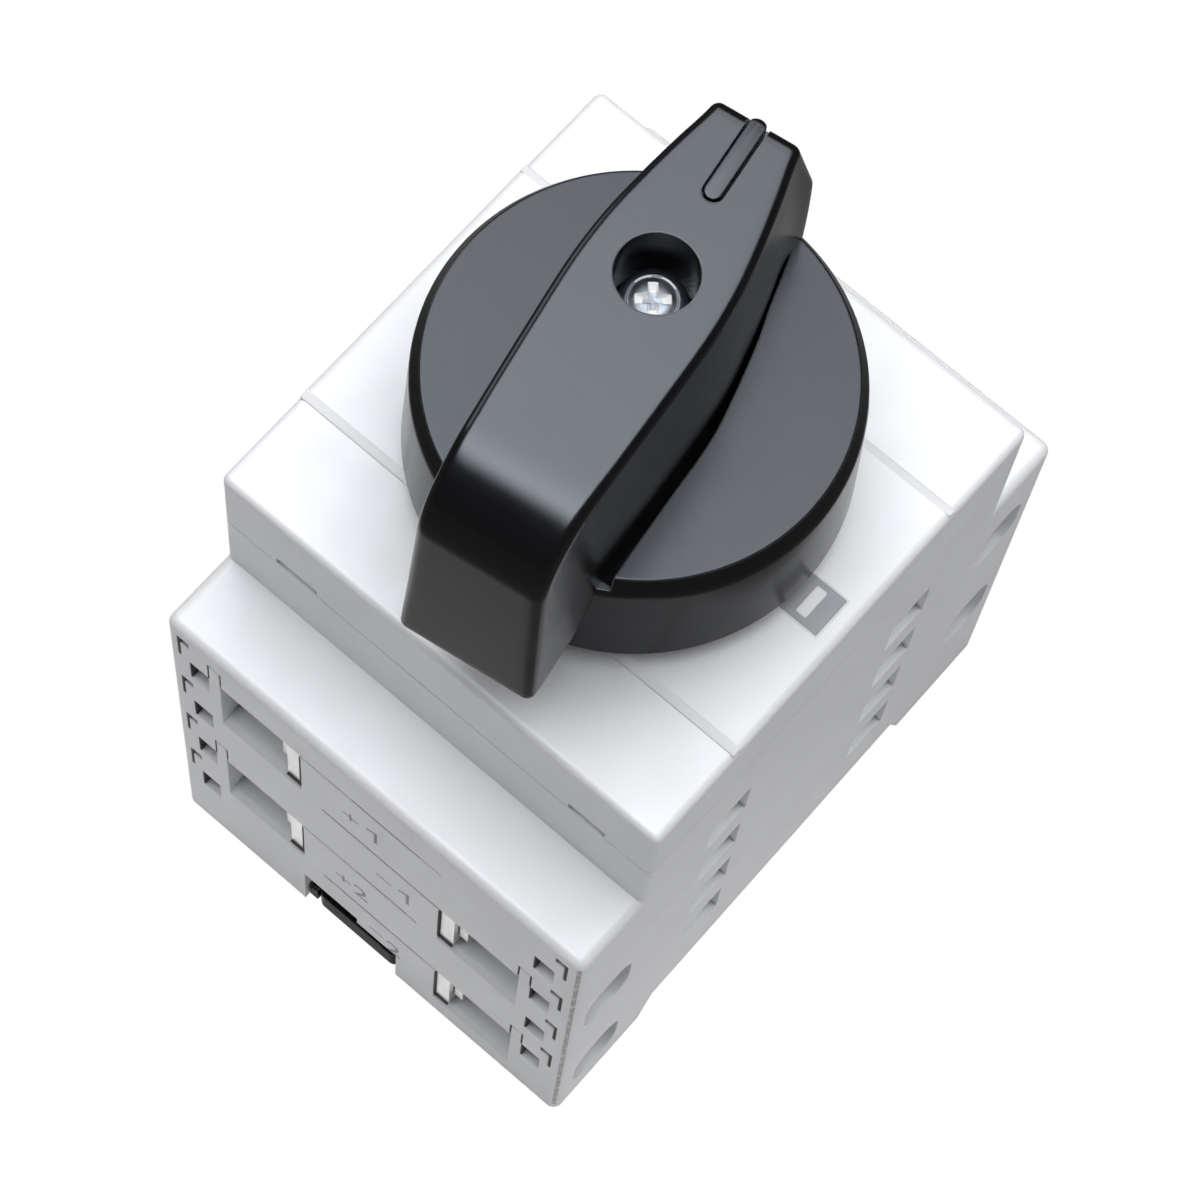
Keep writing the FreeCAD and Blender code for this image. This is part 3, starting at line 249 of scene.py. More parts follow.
def bar_half(y, z):
    """The bar's half width: drafted walls that open faster under the pointer."""
    depth = (CROWN_Z - z) / (CROWN_Z - FACE_Z)
    swell = max(0.0, min(1.0, (y - 8.0) / 14.0))
    power = 1.0 + 1.3 * swell
    if depth <= 1.0:
        share = 1.0 - (1.0 - depth) ** power
    else:
        share = 1.0 + (depth - 1.0) * (1.0 - swell)
    return crown_half(y) + (disc_half(y) - crown_half(y)) * share


def rounded_path(corners, step):
    """Points along a polyline whose corners are rounded; corners are (y, z, radius)."""
    points = []
    for i, (y, z, radius) in enumerate(corners):
        here = Vector((y, z))
        if i in (0, len(corners) - 1) or radius <= 0.0:
            points.append(here)
            continue
        before = (Vector(corners[i - 1][:2]) - here).normalized()
        after = (Vector(corners[i + 1][:2]) - here).normalized()
        half = before.angle(after) / 2
        run = radius / math.tan(half)
        centre = here + (before + after).normalized() * (radius / math.sin(half))
        a, b = here + before * run - centre, here + after * run - centre
        sweep = a.angle_signed(b)
        count = max(3, int(abs(sweep) * radius / step) + 3)
        for k in range(count + 1):
            angle = -sweep * k / count
            c, s = math.cos(angle), math.sin(angle)
            points.append(centre + Vector((a.x * c - a.y * s, a.x * s + a.y * c)))
    out = [points[0]]
    for p in points[1:]:
        gap = (p - out[-1]).length
        parts = max(1, int(math.ceil(gap / (step * 2.2))))
        start = out[-1].copy()
        for k in range(1, parts + 1):
            out.append(start.lerp(p, k / parts))
    return out


def crown_arc():
    """The rounded grip end, tangent to the flat crown."""
    reach, drop = CROWN_START - FRONT_TOP, CROWN_Z - FRONT_TOP_Z
    radius = (reach ** 2 + drop ** 2) / (2 * drop)
    whole = math.asin(reach / radius)
    turns = [whole * k / 16 for k in range(17)]
    return [(CROWN_START - radius * math.sin(a), CROWN_Z - radius * (1 - math.cos(a)), 0.0) for a in turns]


def arch_arc():
    """The arch under the grip, from the disc's rim down to the grip's lower edge."""
    middle_y, middle_z = (ARCH + ARCH_END) / 2, (ARCH_Z + ARCH_END_Z) / 2
    bend_y = 2 * (middle_y + ARCH_BOW) - middle_y
    bend_z = 2 * (middle_z - ARCH_BOW) - middle_z
    points = []
    for k in range(13):
        t = k / 12
        points.append(((1 - t) ** 2 * ARCH + 2 * t * (1 - t) * bend_y + t ** 2 * ARCH_END,
                       (1 - t) ** 2 * ARCH_Z + 2 * t * (1 - t) * bend_z + t ** 2 * ARCH_END_Z, 0.0))
    return points


def bar_profile():
    corners = [(NOSE, BASE_Z, 0.0), (NOSE, NOSE_Z, 2.2), (TIP, CROWN_Z, 1.3)]
    corners += crown_arc()[:-1]
    corners += [(FRONT_TOP, FRONT_TOP_Z, 0.0), (FRONT_FOOT, FOOT_Z, 1.3)] + arch_arc()
    corners += [(ROOT, ARCH_END_Z - 1.0, 0.0), (ROOT, BASE_Z, 0.0)]
    return rounded_path(corners, 0.45)


def edge_radius(y, z):
    """The rounding along the bar's edges: fine on the crown, wider down the grip's corners."""
    if y > 20.0:
        return 1.2
    if z < ARCH_END_Z + 0.5 and y > FRONT_FOOT + 2.0:
        return 0.7 if y < ARCH_END - 0.5 else 0.2
    wide = max(0.0, min(1.0, (-22.0 - y) / 12.0)) * max(0.0, min(1.0, (z - FOOT_Z - 1.0) / 12.0))
    return 1.2 + 0.4 * wide


def add_grid(bm, rows):
    """Faces between rows of vertices of equal length."""
    for a, b in zip(rows[:-1], rows[1:]):
        for i in range(len(a) - 1):
            quad = [a[i], a[i + 1], b[i + 1], b[i]]
            unique = []
            for v in quad:
                if v not in unique:
                    unique.append(v)
            if len(unique) > 2:
                bm.faces.new(unique)


def wall(bm, rim, side):
    """One wall of the bar: its rim's outline filled with points that follow the draft and the bow."""
    outline = [Vector((v.co.y, v.co.z)) for v in rim]
    low, high = min(p.x for p in outline), max(p.x for p in outline)
    rise = max(p.y for p in outline)
    pitch = 1.3
    inner = []
    for i in range(int((high - low) / pitch)):
        for k in range(int((rise - BASE_Z) / pitch)):
            q = Vector((low + (i + 0.5) * pitch, BASE_Z + (k + 0.5) * pitch))
            inside = False
            for a, b in zip(outline, outline[1:] + outline[:1]):
                if (a.y > q.y) != (b.y > q.y) and q.x < a.x + (q.y - a.y) * (b.x - a.x) / (b.y - a.y):
                    inside = not inside
            if inside and min((q - p).length for p in outline) > 0.5 * pitch:
                inner.append(q)
    filled = delaunay_2d_cdt(outline + inner, [], [list(range(len(outline)))], 1, 1e-5)
    verts = []
    for place, origins in zip(filled[0], filled[3]):
        known = [k for k in origins if k < len(outline)]
        if known:
            verts.append(rim[known[0]])
        else:
            verts.append(bm.verts.new((side * bar_half(place.x, place.y), place.x, place.y)))
    for face in filled[2]:
        bm.faces.new([verts[k] for k in face])


def bar_mesh():
    """The bar as one closed mesh: a strip round its profile with rounded edges, and its two walls."""
    bm = bmesh.new()
    path = bar_profile()
    count = len(path)
    across, rounding = 14, 5
    strips = []
    for i, p in enumerate(path):
        a, b = path[max(i - 1, 0)], path[min(i + 1, count - 1)]
        along = (b - a).normalized()
        normal = Vector((along.y, -along.x))
        radius = edge_radius(p.x, p.y)
        sunk = p - normal * radius
        flat = bar_half(sunk.x, sunk.y) - radius
        turns = [math.pi / 2 * k / rounding for k in range(rounding + 1)]
        rim = [(flat + radius * math.cos(t), p + normal * radius * (math.sin(t) - 1.0)) for t in turns]
        row = [bm.verts.new((-x, q.x, q.y)) for x, q in rim]
        row += [bm.verts.new((-flat + 2 * flat * k / across, p.x, p.y)) for k in range(1, across)]
        row += [bm.verts.new((x, q.x, q.y)) for x, q in reversed(rim)]
        strips.append(row)
    add_grid(bm, strips)
    bmesh.ops.remove_doubles(bm, verts=bm.verts, dist=1e-4)
    for side, pick in ((-1, 0), (1, -1)):
        rim = []
        for row in strips:
            v = row[pick]
            if v.is_valid and v not in rim:
                rim.append(v)
        wall(bm, rim, side)
    bmesh.ops.holes_fill(bm, edges=[e for e in bm.edges if e.is_boundary], sides=0)
    bmesh.ops.recalc_face_normals(bm, faces=bm.faces)
    return bm


def turned_mesh(profile, count):
    """A closed turned body from its half outline of (radius, z), whose ends lie on the axis."""
    bm = bmesh.new()
    turns = [2 * math.pi * k / count for k in range(count)]
    rings = []
    for r, z in profile:
        if r < 1e-6:
            rings.append([bm.verts.new((0.0, 0.0, z))] * (count + 1))
            continue
        ring = [bm.verts.new((r * math.cos(a), r * math.sin(a), z)) for a in turns]
        rings.append(ring + ring[:1])
    add_grid(bm, rings)
    bmesh.ops.recalc_face_normals(bm, faces=bm.faces)
    return bm


def disc_profile():
    return ((0.0, SOCKET_Z), (SOCKET_R, SOCKET_Z), (SOCKET_R, HUB_Z), (HUB_R, HUB_Z), (HUB_R, PLATE_Z),
            (R_INNER, PLATE_Z), (R_INNER, SKIRT_Z + 0.3), (R_INNER + 0.3, SKIRT_Z), (R_SKIRT - 0.3, SKIRT_Z),
            (R_SKIRT, SKIRT_Z + 0.3), (R_BEVEL + 0.25, BEVEL_Z - 1.5), (R_BEVEL + 0.14, BEVEL_Z - 0.4),
            (R_BEVEL - 0.05, BEVEL_Z), (R_FACE + 0.12, FACE_Z - 0.12), (R_FACE - 0.1, FACE_Z), (0.0, FACE_Z))


def groove_points():
    """The sunk groove's outline round the bar's foot, closed across the rim at the pointer end."""
    steps = 60
    ys = [GROOVE_TOP + (GROOVE_END - GROOVE_TOP) * k / steps for k in range(steps + 1)]
    right = [(groove_half(y), y) for y in ys]
    return right + [(-x, y) for x, y in reversed(right)]


def to_object(bm, name, smooth_angle=32.0):
    mesh = bpy.data.meshes.new(name)
    bmesh.ops.rotate(bm, verts=bm.verts, cent=(0, 0, 0), matrix=Matrix.Rotation(TURN, 3, "Z"))
    bmesh.ops.scale(bm, verts=bm.verts, vec=(MM, MM, MM))
    bm.to_mesh(mesh)
    bm.free()
    obj = bpy.data.objects.new(name, mesh)
    bpy.context.scene.collection.objects.link(obj)
    for polygon in mesh.polygons:
        polygon.use_smooth = True
    mesh.set_sharp_from_angle(angle=math.radians(smooth_angle))
    return obj


def cutter(points, z0, z1, name):
    """An upright prism, to cut a well or a slot."""
    bm = bmesh.new()
    low = [bm.verts.new((x, y, z0)) for x, y in points]
    high = [bm.verts.new((x, y, z1)) for x, y in points]
    bm.faces.new(low[::-1])
    bm.faces.new(high)
    add_grid(bm, [low + low[:1], high + high[:1]])
    bmesh.ops.recalc_face_normals(bm, faces=bm.faces)
    return to_object(bm, name)


def cut(target, tool):
    modifier = target.modifiers.new("cut", "BOOLEAN")
    modifier.operation = "DIFFERENCE"
    modifier.solver = "EXACT"
    modifier.object = tool
    depsgraph = bpy.context.evaluated_depsgraph_get()
    mesh = bpy.data.meshes.new_from_object(target.evaluated_get(depsgraph))
    target.modifiers.clear()
    target.data = mesh
    bpy.data.objects.remove(tool)


def slot_points(half, inner, outer):
    points = [(half, outer), (-half, outer)]
    for k in range(17):
        a = math.pi + math.pi * k / 16
        points.append((half * math.cos(a), inner + half * math.sin(a)))
    return points


def build_handle():
    bar = to_object(bar_mesh(), "handle_bar", 28.0)
    turns = [2 * math.pi * k / 128 for k in range(128)]
    well = [(WELL_R * math.cos(a), WELL_R * math.sin(a)) for a in turns]
    cut(bar, cutter(well, WELL_Z, CROWN_Z + 3.0, "well"))
    slot = [(x + SLOT_SHIFT[0], y + SLOT_SHIFT[1]) for x, y in slot_points(SLOT_HALF, POINTER_INNER, 30.0)]
    cut(bar, cutter(slot, CROWN_Z - SLOT_DEPTH, CROWN_Z + 3.0, "slot"))
    bar.data.set_sharp_from_angle(angle=math.radians(28.0))
    for polygon in bar.data.polygons:
        polygon.use_smooth = True
    disc = to_object(turned_mesh(disc_profile(), 256), "handle_disc", 28.0)
    cut(disc, cutter(groove_points(), GROOVE_FLOOR, FACE_Z + 3.0, "groove"))
    cut(disc, cutter(ARM_SLOT, GROOVE_SHELF, FACE_Z + 3.0, "shelf"))
    disc.data.set_sharp_from_angle(angle=math.radians(28.0))
    disc_black = satin_black("black_satin_disc", 0.39)
    for obj, material in ((bar, MATERIALS["handle_plastic"]), (disc, disc_black)):
        obj.data.materials.clear()
        obj.data.materials.append(material)
        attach(obj, "rotor_drive")
    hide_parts("handle")


build_handle()


# The pointer: a slim insert in the crown whose outer end is a rounded nub over the bar's tip
def pointer_mesh():
    soft, dome = 0.12, 0.85
    outline = []
    for k in range(50):
        a = math.pi * (k / 24 if k < 25 else 1 + (k - 25) / 24)
        centre = POINTER_OUTER if k < 25 else POINTER_INNER
        edge = Vector((POINTER_HALF * math.cos(a), centre + POINTER_HALF * math.sin(a)))
        rounding = soft + (dome - soft) * math.sin(a) if k < 25 else soft
        outline.append((edge, Vector((math.cos(a), math.sin(a))), rounding))
    bm = bmesh.new()
    rings = [[bm.verts.new((p.x, p.y, POINTER_FOOT)) for p, n, r in outline]]
    for k in range(7):
        a = math.pi / 2 * k / 6
        row = []
        for p, n, r in outline:
            top = CROWN_Z - POINTER_SINK - r * (1 - math.sin(a))
            row.append(bm.verts.new((*(p - n * r * (1 - math.cos(a))), top)))
        rings.append(row)
    add_grid(bm, [ring + ring[:1] for ring in rings])
    bm.faces.new(rings[0][::-1])
    bm.faces.new(rings[-1])
    bmesh.ops.recalc_face_normals(bm, faces=bm.faces)
    return bm


def build_pointer():
    pointer = to_object(pointer_mesh(), "pointer_rib", 28.0)
    pointer.data.materials.append(MATERIALS["handle_plastic"])
    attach(pointer, "rotor_drive")
    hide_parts("pointer_insert")


build_pointer()


# The handle's screw: a domed head with a tapered cross recess
def cross(reach, half, z, bm, angle):
    turn = Matrix.Rotation(angle, 3, "Z")
    ring = []
    for k in range(4):
        quarter = Matrix.Rotation(math.pi / 2 * k, 3, "Z")
        for x, y in ((half, -half), (reach, -half), (reach, half)):
            ring.append(bm.verts.new(turn @ quarter @ Vector((x, y, z))))
    return ring


# Half outline of shank, head and dome: radius and height
SCREW_HEAD = ((0.0, 133.2), (2.2, 133.2), (2.5, 133.6), (2.5, 149.15), (4.1, 149.15), (4.2, 149.3),
              (4.2, 153.55), (4.1, 153.75), (3.95, 153.85), (3.3, 154.2), (3.1, 154.24), (2.95, 154.1),
              (2.8, 154.12), (2.5, 154.3), (2.0, 154.45), (1.4, 154.56), (0.7, 154.62), (0.0, 154.64))
# Sections of the cross recess: reach, half width and height
RECESS = ((2.5, 0.8, 155.6), (2.2, 0.62, 154.45), (1.15, 0.34, 153.85))
RECESS_TURN, RECESS_TIP = math.radians(31.0), 153.75
# Heights and radii, in metres, between which the head's colour changes: a darker metal on the outer ring as
# painted shade, and a near-white painted highlight on the recess's inward walls and on two arcs of the crest
HEAD_TOP, RIM_FROM, CREST_FROM, CREST_TO = 0.1535, 0.0033, 0.0029, 0.00306
FACET_FROM, FACET_TO, CREST_MIDDLE, CREST_GAP, CREST_SWEEP = 0.0012, 0.0027, 122.0, 10.0, 52.0


def build_screw():
    head = to_object(turned_mesh(SCREW_HEAD, 96), "handle_screw_head", 24.0)
    bm = bmesh.new()
    rings = [cross(reach, half, z, bm, RECESS_TURN) for reach, half, z in RECESS]
    add_grid(bm, [ring + ring[:1] for ring in rings])
    bm.faces.new(rings[0])
    tip = bm.verts.new((0.0, 0.0, RECESS_TIP))
    low = rings[-1]
    for a, b in zip(low, low[1:] + low[:1]):
        bm.faces.new((a, b, tip))
    bmesh.ops.recalc_face_normals(bm, faces=bm.faces)
    cut(head, to_object(bm, "recess"))
    # Painted highlight: a near-white plastic that stands in for the bright reflections on the head
    facet = plastic("painted_glint_white", (0.93, 0.93, 0.94), (0.98, 0.98, 0.99), 0.3, grain_strength=0.03)
    # Painted shade: a darker copy of the plated metal for the head's outer ring
    rim = metal("head_rim_painted_shade", (0.13, 0.135, 0.15), (0.19, 0.195, 0.21), 0.4)
    head.data.materials.clear()
    for material in (MATERIALS["chrome"], facet, rim):
        head.data.materials.append(material)
    for polygon in head.data.polygons:
        polygon.use_smooth = True
        polygon.material_index = 0
        middle = Vector((polygon.center.x, polygon.center.y, 0.0))
        flat = Vector((polygon.normal.x, polygon.normal.y, 0.0))
        inward = middle.length > 0.0001 and flat.dot(middle.normalized()) < -0.1
        azimuth = math.degrees(math.atan2(middle.y, middle.x)) - CREST_MIDDLE
        if polygon.center.z < HEAD_TOP:
            continue
        # Painted shade: the outer ring takes the darker metal
        if middle.length > RIM_FROM:
            polygon.material_index = 2
        # Painted highlight: the recess's inward walls and two arcs of the crest take the near-white material
        if FACET_FROM < middle.length < FACET_TO and inward:
            polygon.material_index = 1
        if CREST_FROM < middle.length < CREST_TO and CREST_GAP < abs(azimuth) < CREST_SWEEP:
            polygon.material_index = 1
    head.data.set_sharp_from_angle(angle=math.radians(24.0))
    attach(head, "rotor_drive")
    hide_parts("handle_screw")


build_screw()


# Small pieces on the housing
def place_piece(mesh, name, material, body):
    """Turns a mesh, in metres, into a piece that rides on a body."""
    obj = bpy.data.objects.new(name, mesh)
    bpy.context.scene.collection.objects.link(obj)
    mesh.materials.clear()
    mesh.materials.append(material)
    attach(obj, body)


def finish_piece(bm, name, material, body="housing"):
    """Closes the work on a mesh and places it."""
    bmesh.ops.recalc_face_normals(bm, faces=bm.faces)
    mesh = bpy.data.meshes.new(name)
    bm.to_mesh(mesh)
    bm.free()
    place_piece(mesh, name, material, body)


def cap_rows(bm, rows):
    """Faces round two outlines and over both of them."""
    add_grid(bm, [row + row[:1] for row in rows])
    bm.faces.new(rows[0][::-1])
    bm.faces.new(rows[1])


def prism_along_x(section, x0, x1, name, material, body="housing"):
    """A bar with one section, given as points (y, z), between two places along X."""
    bm = bmesh.new()
    cap_rows(bm, [[bm.verts.new((x * MM, y * MM, z * MM)) for y, z in section] for x in (x0, x1)])
    finish_piece(bm, name, material, body)


def boxes_piece(boxes, name, material):
    """Many small upright boxes, given as x0, x1, y0, y1, z0, z1, as one piece."""
    bm = bmesh.new()
    for x0, x1, y0, y1, z0, z1 in boxes:
        corners = ((x0, y0), (x1, y0), (x1, y1), (x0, y1))
        cap_rows(bm, [[bm.verts.new((x * MM, y * MM, z * MM)) for x, y in corners] for z in (z0, z1)])
    finish_piece(bm, name, material)


# The cover's raised band runs out in a slope on each side
BAND_Y, BAND_Z, COVER_Z, COVER_X = 20.8, 106.88, 106.3, 35.8
SLOPE_IN, SLOPE_OUT, SLOPE_ROOT = 0.3, 1.0, 0.05
for side, name in ((-1, "band_slope_near"), (1, "band_slope_far")):
    inner, outer, root = side * (BAND_Y - SLOPE_IN), side * (BAND_Y + SLOPE_OUT), COVER_Z - SLOPE_ROOT
    section = [(inner, BAND_Z), (outer, COVER_Z), (outer, root), (inner, root)]
    prism_along_x(section, -COVER_X, COVER_X, name, MATERIALS["housing_plastic"])

# Painted shade: dark strips along the parting lines between the stacked housings, where their edges stand a
# hair apart, stand in for the shade inside the gap
PAINTED_GAP_SHADE = plastic("parting_shadow", (0.018, 0.018, 0.02), (0.03, 0.03, 0.033), 0.7, grain_strength=0.05)
FACE_Y, PROUD, LINE_HALF = 48.6, 0.01, 0.07
SEAMS = (69.2, 53.15, 37.1, 21.05)
LINE_ENDS = ((-3.3, 12.4), (-8.6, 12.3), (-2.5, 6.7), (-8.7, 10.2))


def on_face(depth, z0, z1):
    """A section that stands a hair proud of the terminal face and reaches into it."""
    return [(-FACE_Y - PROUD, z0), (-FACE_Y - PROUD, z1), (-FACE_Y + depth, z1), (-FACE_Y + depth, z0)]


for k, (z, (x0, x1)) in enumerate(zip(SEAMS, LINE_ENDS), 1):
    prism_along_x(on_face(0.2, z - LINE_HALF, z + LINE_HALF), x0, x1, "parting_line_%d" % k, PAINTED_GAP_SHADE)

# Painted shade: dark strips between each contact bar's end and its window stand in for the shade inside the
# gap
BAR_FEET = (55.75, 39.7, 23.65, 7.6)
BAR_INNER, BAR_OUTER, BAR_RISE, GAP = 12.6, 15.0, 12.4, 0.3
for layer, foot in enumerate(BAR_FEET, 1):
    side = -1 if layer % 2 else 1
    across = ("side", (BAR_INNER, BAR_INNER - GAP), foot + BAR_RISE)
    below = ("foot", (BAR_INNER, BAR_OUTER), foot + 0.1)
    for place, ends, top in (across, below):
        x0, x1 = sorted(side * x for x in ends)
        prism_along_x(on_face(GAP, foot - 0.2, top), x0, x1, "bar_gap_%s_%d" % (place, layer), PAINTED_GAP_SHADE)

# Painted shade: dark strips where the latches meet the housings, along the upper and left edges of their
# openings, stand in for the shade inside the openings
HOOK_X, HOOK_HALF, HOOK_TOP, HOOK_SLIT = 32.9, 1.05, 7.12, 0.5
LATCH_X, LATCH_HALF, LATCH_DROP = 30.3, 1.7, 5.9
joints = []
for seam in SEAMS:
    for end in (-1, 1):
        y0, y1 = sorted((end * (FACE_Y - 0.04), end * (FACE_Y - 1.2)))
        for side in (-1, 1):
            x0, x1 = side * HOOK_X - HOOK_HALF, side * HOOK_X + HOOK_HALF
            joints.append((x0, x1, y0, y1, seam + HOOK_TOP - 0.4, seam + HOOK_TOP))
            rim = x0 if side < 0 else x1 - HOOK_SLIT
            joints.append((rim - 0.02, rim + HOOK_SLIT + 0.02, y0, y1, seam + 0.1, seam + HOOK_TOP - 0.42))
            x0, x1 = side * LATCH_X - LATCH_HALF, side * LATCH_X + LATCH_HALF
            joints.append((x0 + 0.01, x1, y0, y1, seam - 0.32, seam + 0.02))
            joints.append((x0 - 0.02, x0 + 0.26, y0, y1, seam - LATCH_DROP, seam - 0.34))
boxes_piece(joints, "latch_joints", PAINTED_GAP_SHADE)

# The lower edge of the face over the right half of the clip
LINTEL_Y, LINTEL_BACK, LINTEL_Z, LINTEL_TOP = -FACE_Y + 0.01, -45.5, 10.35, 12.4
section = [(LINTEL_Y, LINTEL_Z), (LINTEL_Y, LINTEL_TOP), (LINTEL_BACK, LINTEL_TOP), (LINTEL_BACK, LINTEL_Z)]
prism_along_x(section, -2.4, 5.05, "clip_lintel", MATERIALS["housing_plastic"])

# The clip's left shoulder, which fills its recess
section = [(-47.6, 0.8), (-47.9, 1.2), (-47.9, 5.0), (-47.6, 5.4), (-42.5, 5.4), (-42.5, 0.8)]
prism_along_x(section, -12.2, -10.78, "clip_shoulder", MATERIALS["clip_plastic"], "clip")


# The corner between the terminal face and the side: a strip with a grainy mix of dark, mid and near-white
# tones
def grainy_corner():
    material, tree, bsdf = new_material("grainy_corner")
    grain = noise(tree, 1100.0, 6.0, 0.7, (1.0, 1.0, 0.5))
    stops = [(0.36, (0.33, 0.33, 0.335)), (0.54, (0.52, 0.52, 0.53)), (0.66, (0.95, 0.95, 0.95))]
    link(tree, ramp(tree, grain.outputs["Fac"], stops), bsdf.inputs["Base Color"])
    bsdf.inputs["Roughness"].default_value = 0.5
    link(tree, rounded_normal(tree, 0.0001, grain.outputs["Fac"], 0.3), bsdf.inputs["Normal"])
    bm = bmesh.new()
    centre_x, centre_y = 34.5, -47.1
    rows = []
    for radius, angles in ((1.4, range(-62, -37, 4)), (1.512, range(-38, -63, -4))):
        for angle in angles:
            x = (centre_x + radius * math.cos(math.radians(angle))) * MM
            y = (centre_y + radius * math.sin(math.radians(angle))) * MM
            rows.append([bm.verts.new((x, y, z * MM)) for z in (2.0, 20.0, 40.0, 60.0, 77.6)])
    add_grid(bm, rows + rows[:1])
    for k in (0, -1):
        bm.faces.new([row[k] for row in rows])
    finish_piece(bm, "grainy_corner", material)


grainy_corner()

# Terminal marks, printed in grey on the terminal face, and the off mark on the cover
INK = plastic("grey_print", (0.29, 0.29, 0.31), (0.35, 0.35, 0.37), 0.55, grain_strength=0.05)
PALE_INK = plastic("pale_print", (0.80, 0.80, 0.81), (0.84, 0.84, 0.85), 0.5, grain_strength=0.05)


def printed(body, low, high, name):
    """Lettering as a thin raised print, fitted between two corners (x, z) of the terminal face."""
    curve = bpy.data.curves.new(name + "_outline", "FONT")
    curve.body = body
    curve.extrude = 0.02
    source = bpy.data.objects.new(name + "_outline", curve)
    bpy.context.scene.collection.objects.link(source)
    mesh = bpy.data.meshes.new_from_object(source.evaluated_get(bpy.context.evaluated_depsgraph_get()))
    bpy.data.objects.remove(source)
    us = [v.co.x for v in mesh.vertices]
    vs = [v.co.y for v in mesh.vertices]
    for v in mesh.vertices:
        x = low[0] + (v.co.x - min(us)) / (max(us) - min(us)) * (high[0] - low[0])
        z = low[1] + (v.co.y - min(vs)) / (max(vs) - min(vs)) * (high[1] - low[1])
        v.co = (x * MM, (-FACE_Y - 0.5 * v.co.z) * MM, z * MM)
    mesh.flip_normals()
    place_piece(mesh, name, INK, "housing")


printed("2", (-3.0, 25.4), (-0.4, 30.0), "mark_two_upper")
printed("2", (3.3, 10.4), (5.9, 15.2), "mark_two_lower")
strokes = []


def stroke(x0, x1, z0, z1):
    """One printed stroke on the terminal face."""
    strokes.append((x0, x1, -FACE_Y - PROUD, -FACE_Y + 0.1, z0, z1))


SIGN_REACH, SIGN_HALF = 1.4, 0.19
for x, z, crossed in ((-3.5, 60.5, True), (2.5, 44.6, False), (-4.9, 27.6, True), (1.3, 14.3, False)):
    stroke(x - SIGN_REACH, x + SIGN_REACH, z - SIGN_HALF, z + SIGN_HALF)
    if crossed:
        stroke(x - SIGN_HALF, x + SIGN_HALF, z + SIGN_HALF + 0.01, z + SIGN_REACH)
        stroke(x - SIGN_HALF, x + SIGN_HALF, z - SIGN_REACH, z - SIGN_HALF - 0.01)
FLAG_START, FLAG_STEP, FLAG_DROP = 0.23, 0.45, 0.28
for x, z in ((0.9, 58.4), (6.8, 42.2)):
    stroke(x - 0.22, x + 0.34, z, z + 4.5)
    for k in range(3):
        left = x - FLAG_START - FLAG_STEP * (k + 1)
        stroke(left, left + FLAG_STEP, z + 3.75 - FLAG_DROP * k, z + 4.3 - FLAG_DROP * k)
boxes_piece(strokes, "mark_strokes", INK)
TOP_BAND_Z, MARK_X = 106.9, 30.3


def field(x0, y0, x1, y1, radius, lift, name, material):
    """A thin printed field with rounded corners on the cover."""
    bm = bmesh.new()
    ring = []
    low_x, high_x, low_y, high_y = x0 + radius, x1 - radius, y0 + radius, y1 - radius
    for start, (cx, cy) in enumerate(((high_x, high_y), (low_x, high_y), (low_x, low_y), (high_x, low_y))):
        for k in range(7):
            a = math.pi / 2 * (start + k / 6)
            ring.append(((cx + radius * math.cos(a)) * MM, (cy + radius * math.sin(a)) * MM))
    heights = (TOP_BAND_Z - 0.05, TOP_BAND_Z + lift)
    cap_rows(bm, [[bm.verts.new((x, y, z * MM)) for x, y in ring] for z in heights])
    finish_piece(bm, name, material)


field(MARK_X - 3.35, -3.35, MARK_X + 3.35, 3.35, 0.2, 0.010, "off_mark_rim", PALE_INK)
field(MARK_X - 3.1, -3.1, MARK_X + 3.1, 3.1, 0.15, 0.016, "off_mark_field", INK)
field(29.25, -2.2, 30.95, 2.3, 0.35, 0.022, "off_mark_zero", PALE_INK)


# Floor: white to the camera, so that the object stands free on a white page; to reflections it glows as a
# painted reflection, bright close round the object and fading outward
def make_floor():
    mesh = bpy.data.meshes.new("floor")
    bm = bmesh.new()
    bmesh.ops.create_grid(bm, x_segments=2, y_segments=2, size=3.0)
    bm.to_mesh(mesh)
    bm.free()
    floor = bpy.data.objects.new("floor", mesh)
    bpy.context.scene.collection.objects.link(floor)
    material, tree, bsdf = new_material("page_white")
    tone = noise(tree, 3.0)
    link(tree, ramp(tree, tone.outputs["Fac"], [(0.0, 0.66), (1.0, 0.68)]), bsdf.inputs["Base Color"])
    bsdf.inputs["Roughness"].default_value = 0.8
    path = tree.nodes.new("ShaderNodeLightPath")
    surface = bsdf.outputs["BSDF"]
    # Painted reflection: the glow seen in reflections is strongest near the object and fades with distance
    place = tree.nodes.new("ShaderNodeTexCoord")
    away = tree.nodes.new("ShaderNodeVectorMath")
    away.operation = "DISTANCE"
    away.inputs[1].default_value = (-0.03, -0.04, 0.0)
    link(tree, place.outputs["Object"], away.inputs[0])
    stops = [(0.0, 0.95), (0.06, 0.9), (0.085, 0.66), (0.11, 0.25), (0.5, 0.15)]
    near = ramp(tree, away.outputs["Value"], stops)
    for ray in ("Is Glossy Ray", "Is Transmission Ray", "Is Camera Ray"):
        page = tree.nodes.new("ShaderNodeEmission")
        page.inputs["Color"].default_value = (1.0, 1.0, 1.0, 1.0)
        if ray != "Is Camera Ray":
            link(tree, near, page.inputs["Strength"])
        mix = tree.nodes.new("ShaderNodeMixShader")
        link(tree, path.outputs[ray], mix.inputs["Fac"])
        link(tree, surface, mix.inputs[1])
        link(tree, page.outputs["Emission"], mix.inputs[2])
        surface = mix.outputs["Shader"]
    link(tree, surface, tree.nodes["Material Output"].inputs["Surface"])
    mesh.materials.append(material)


make_floor()


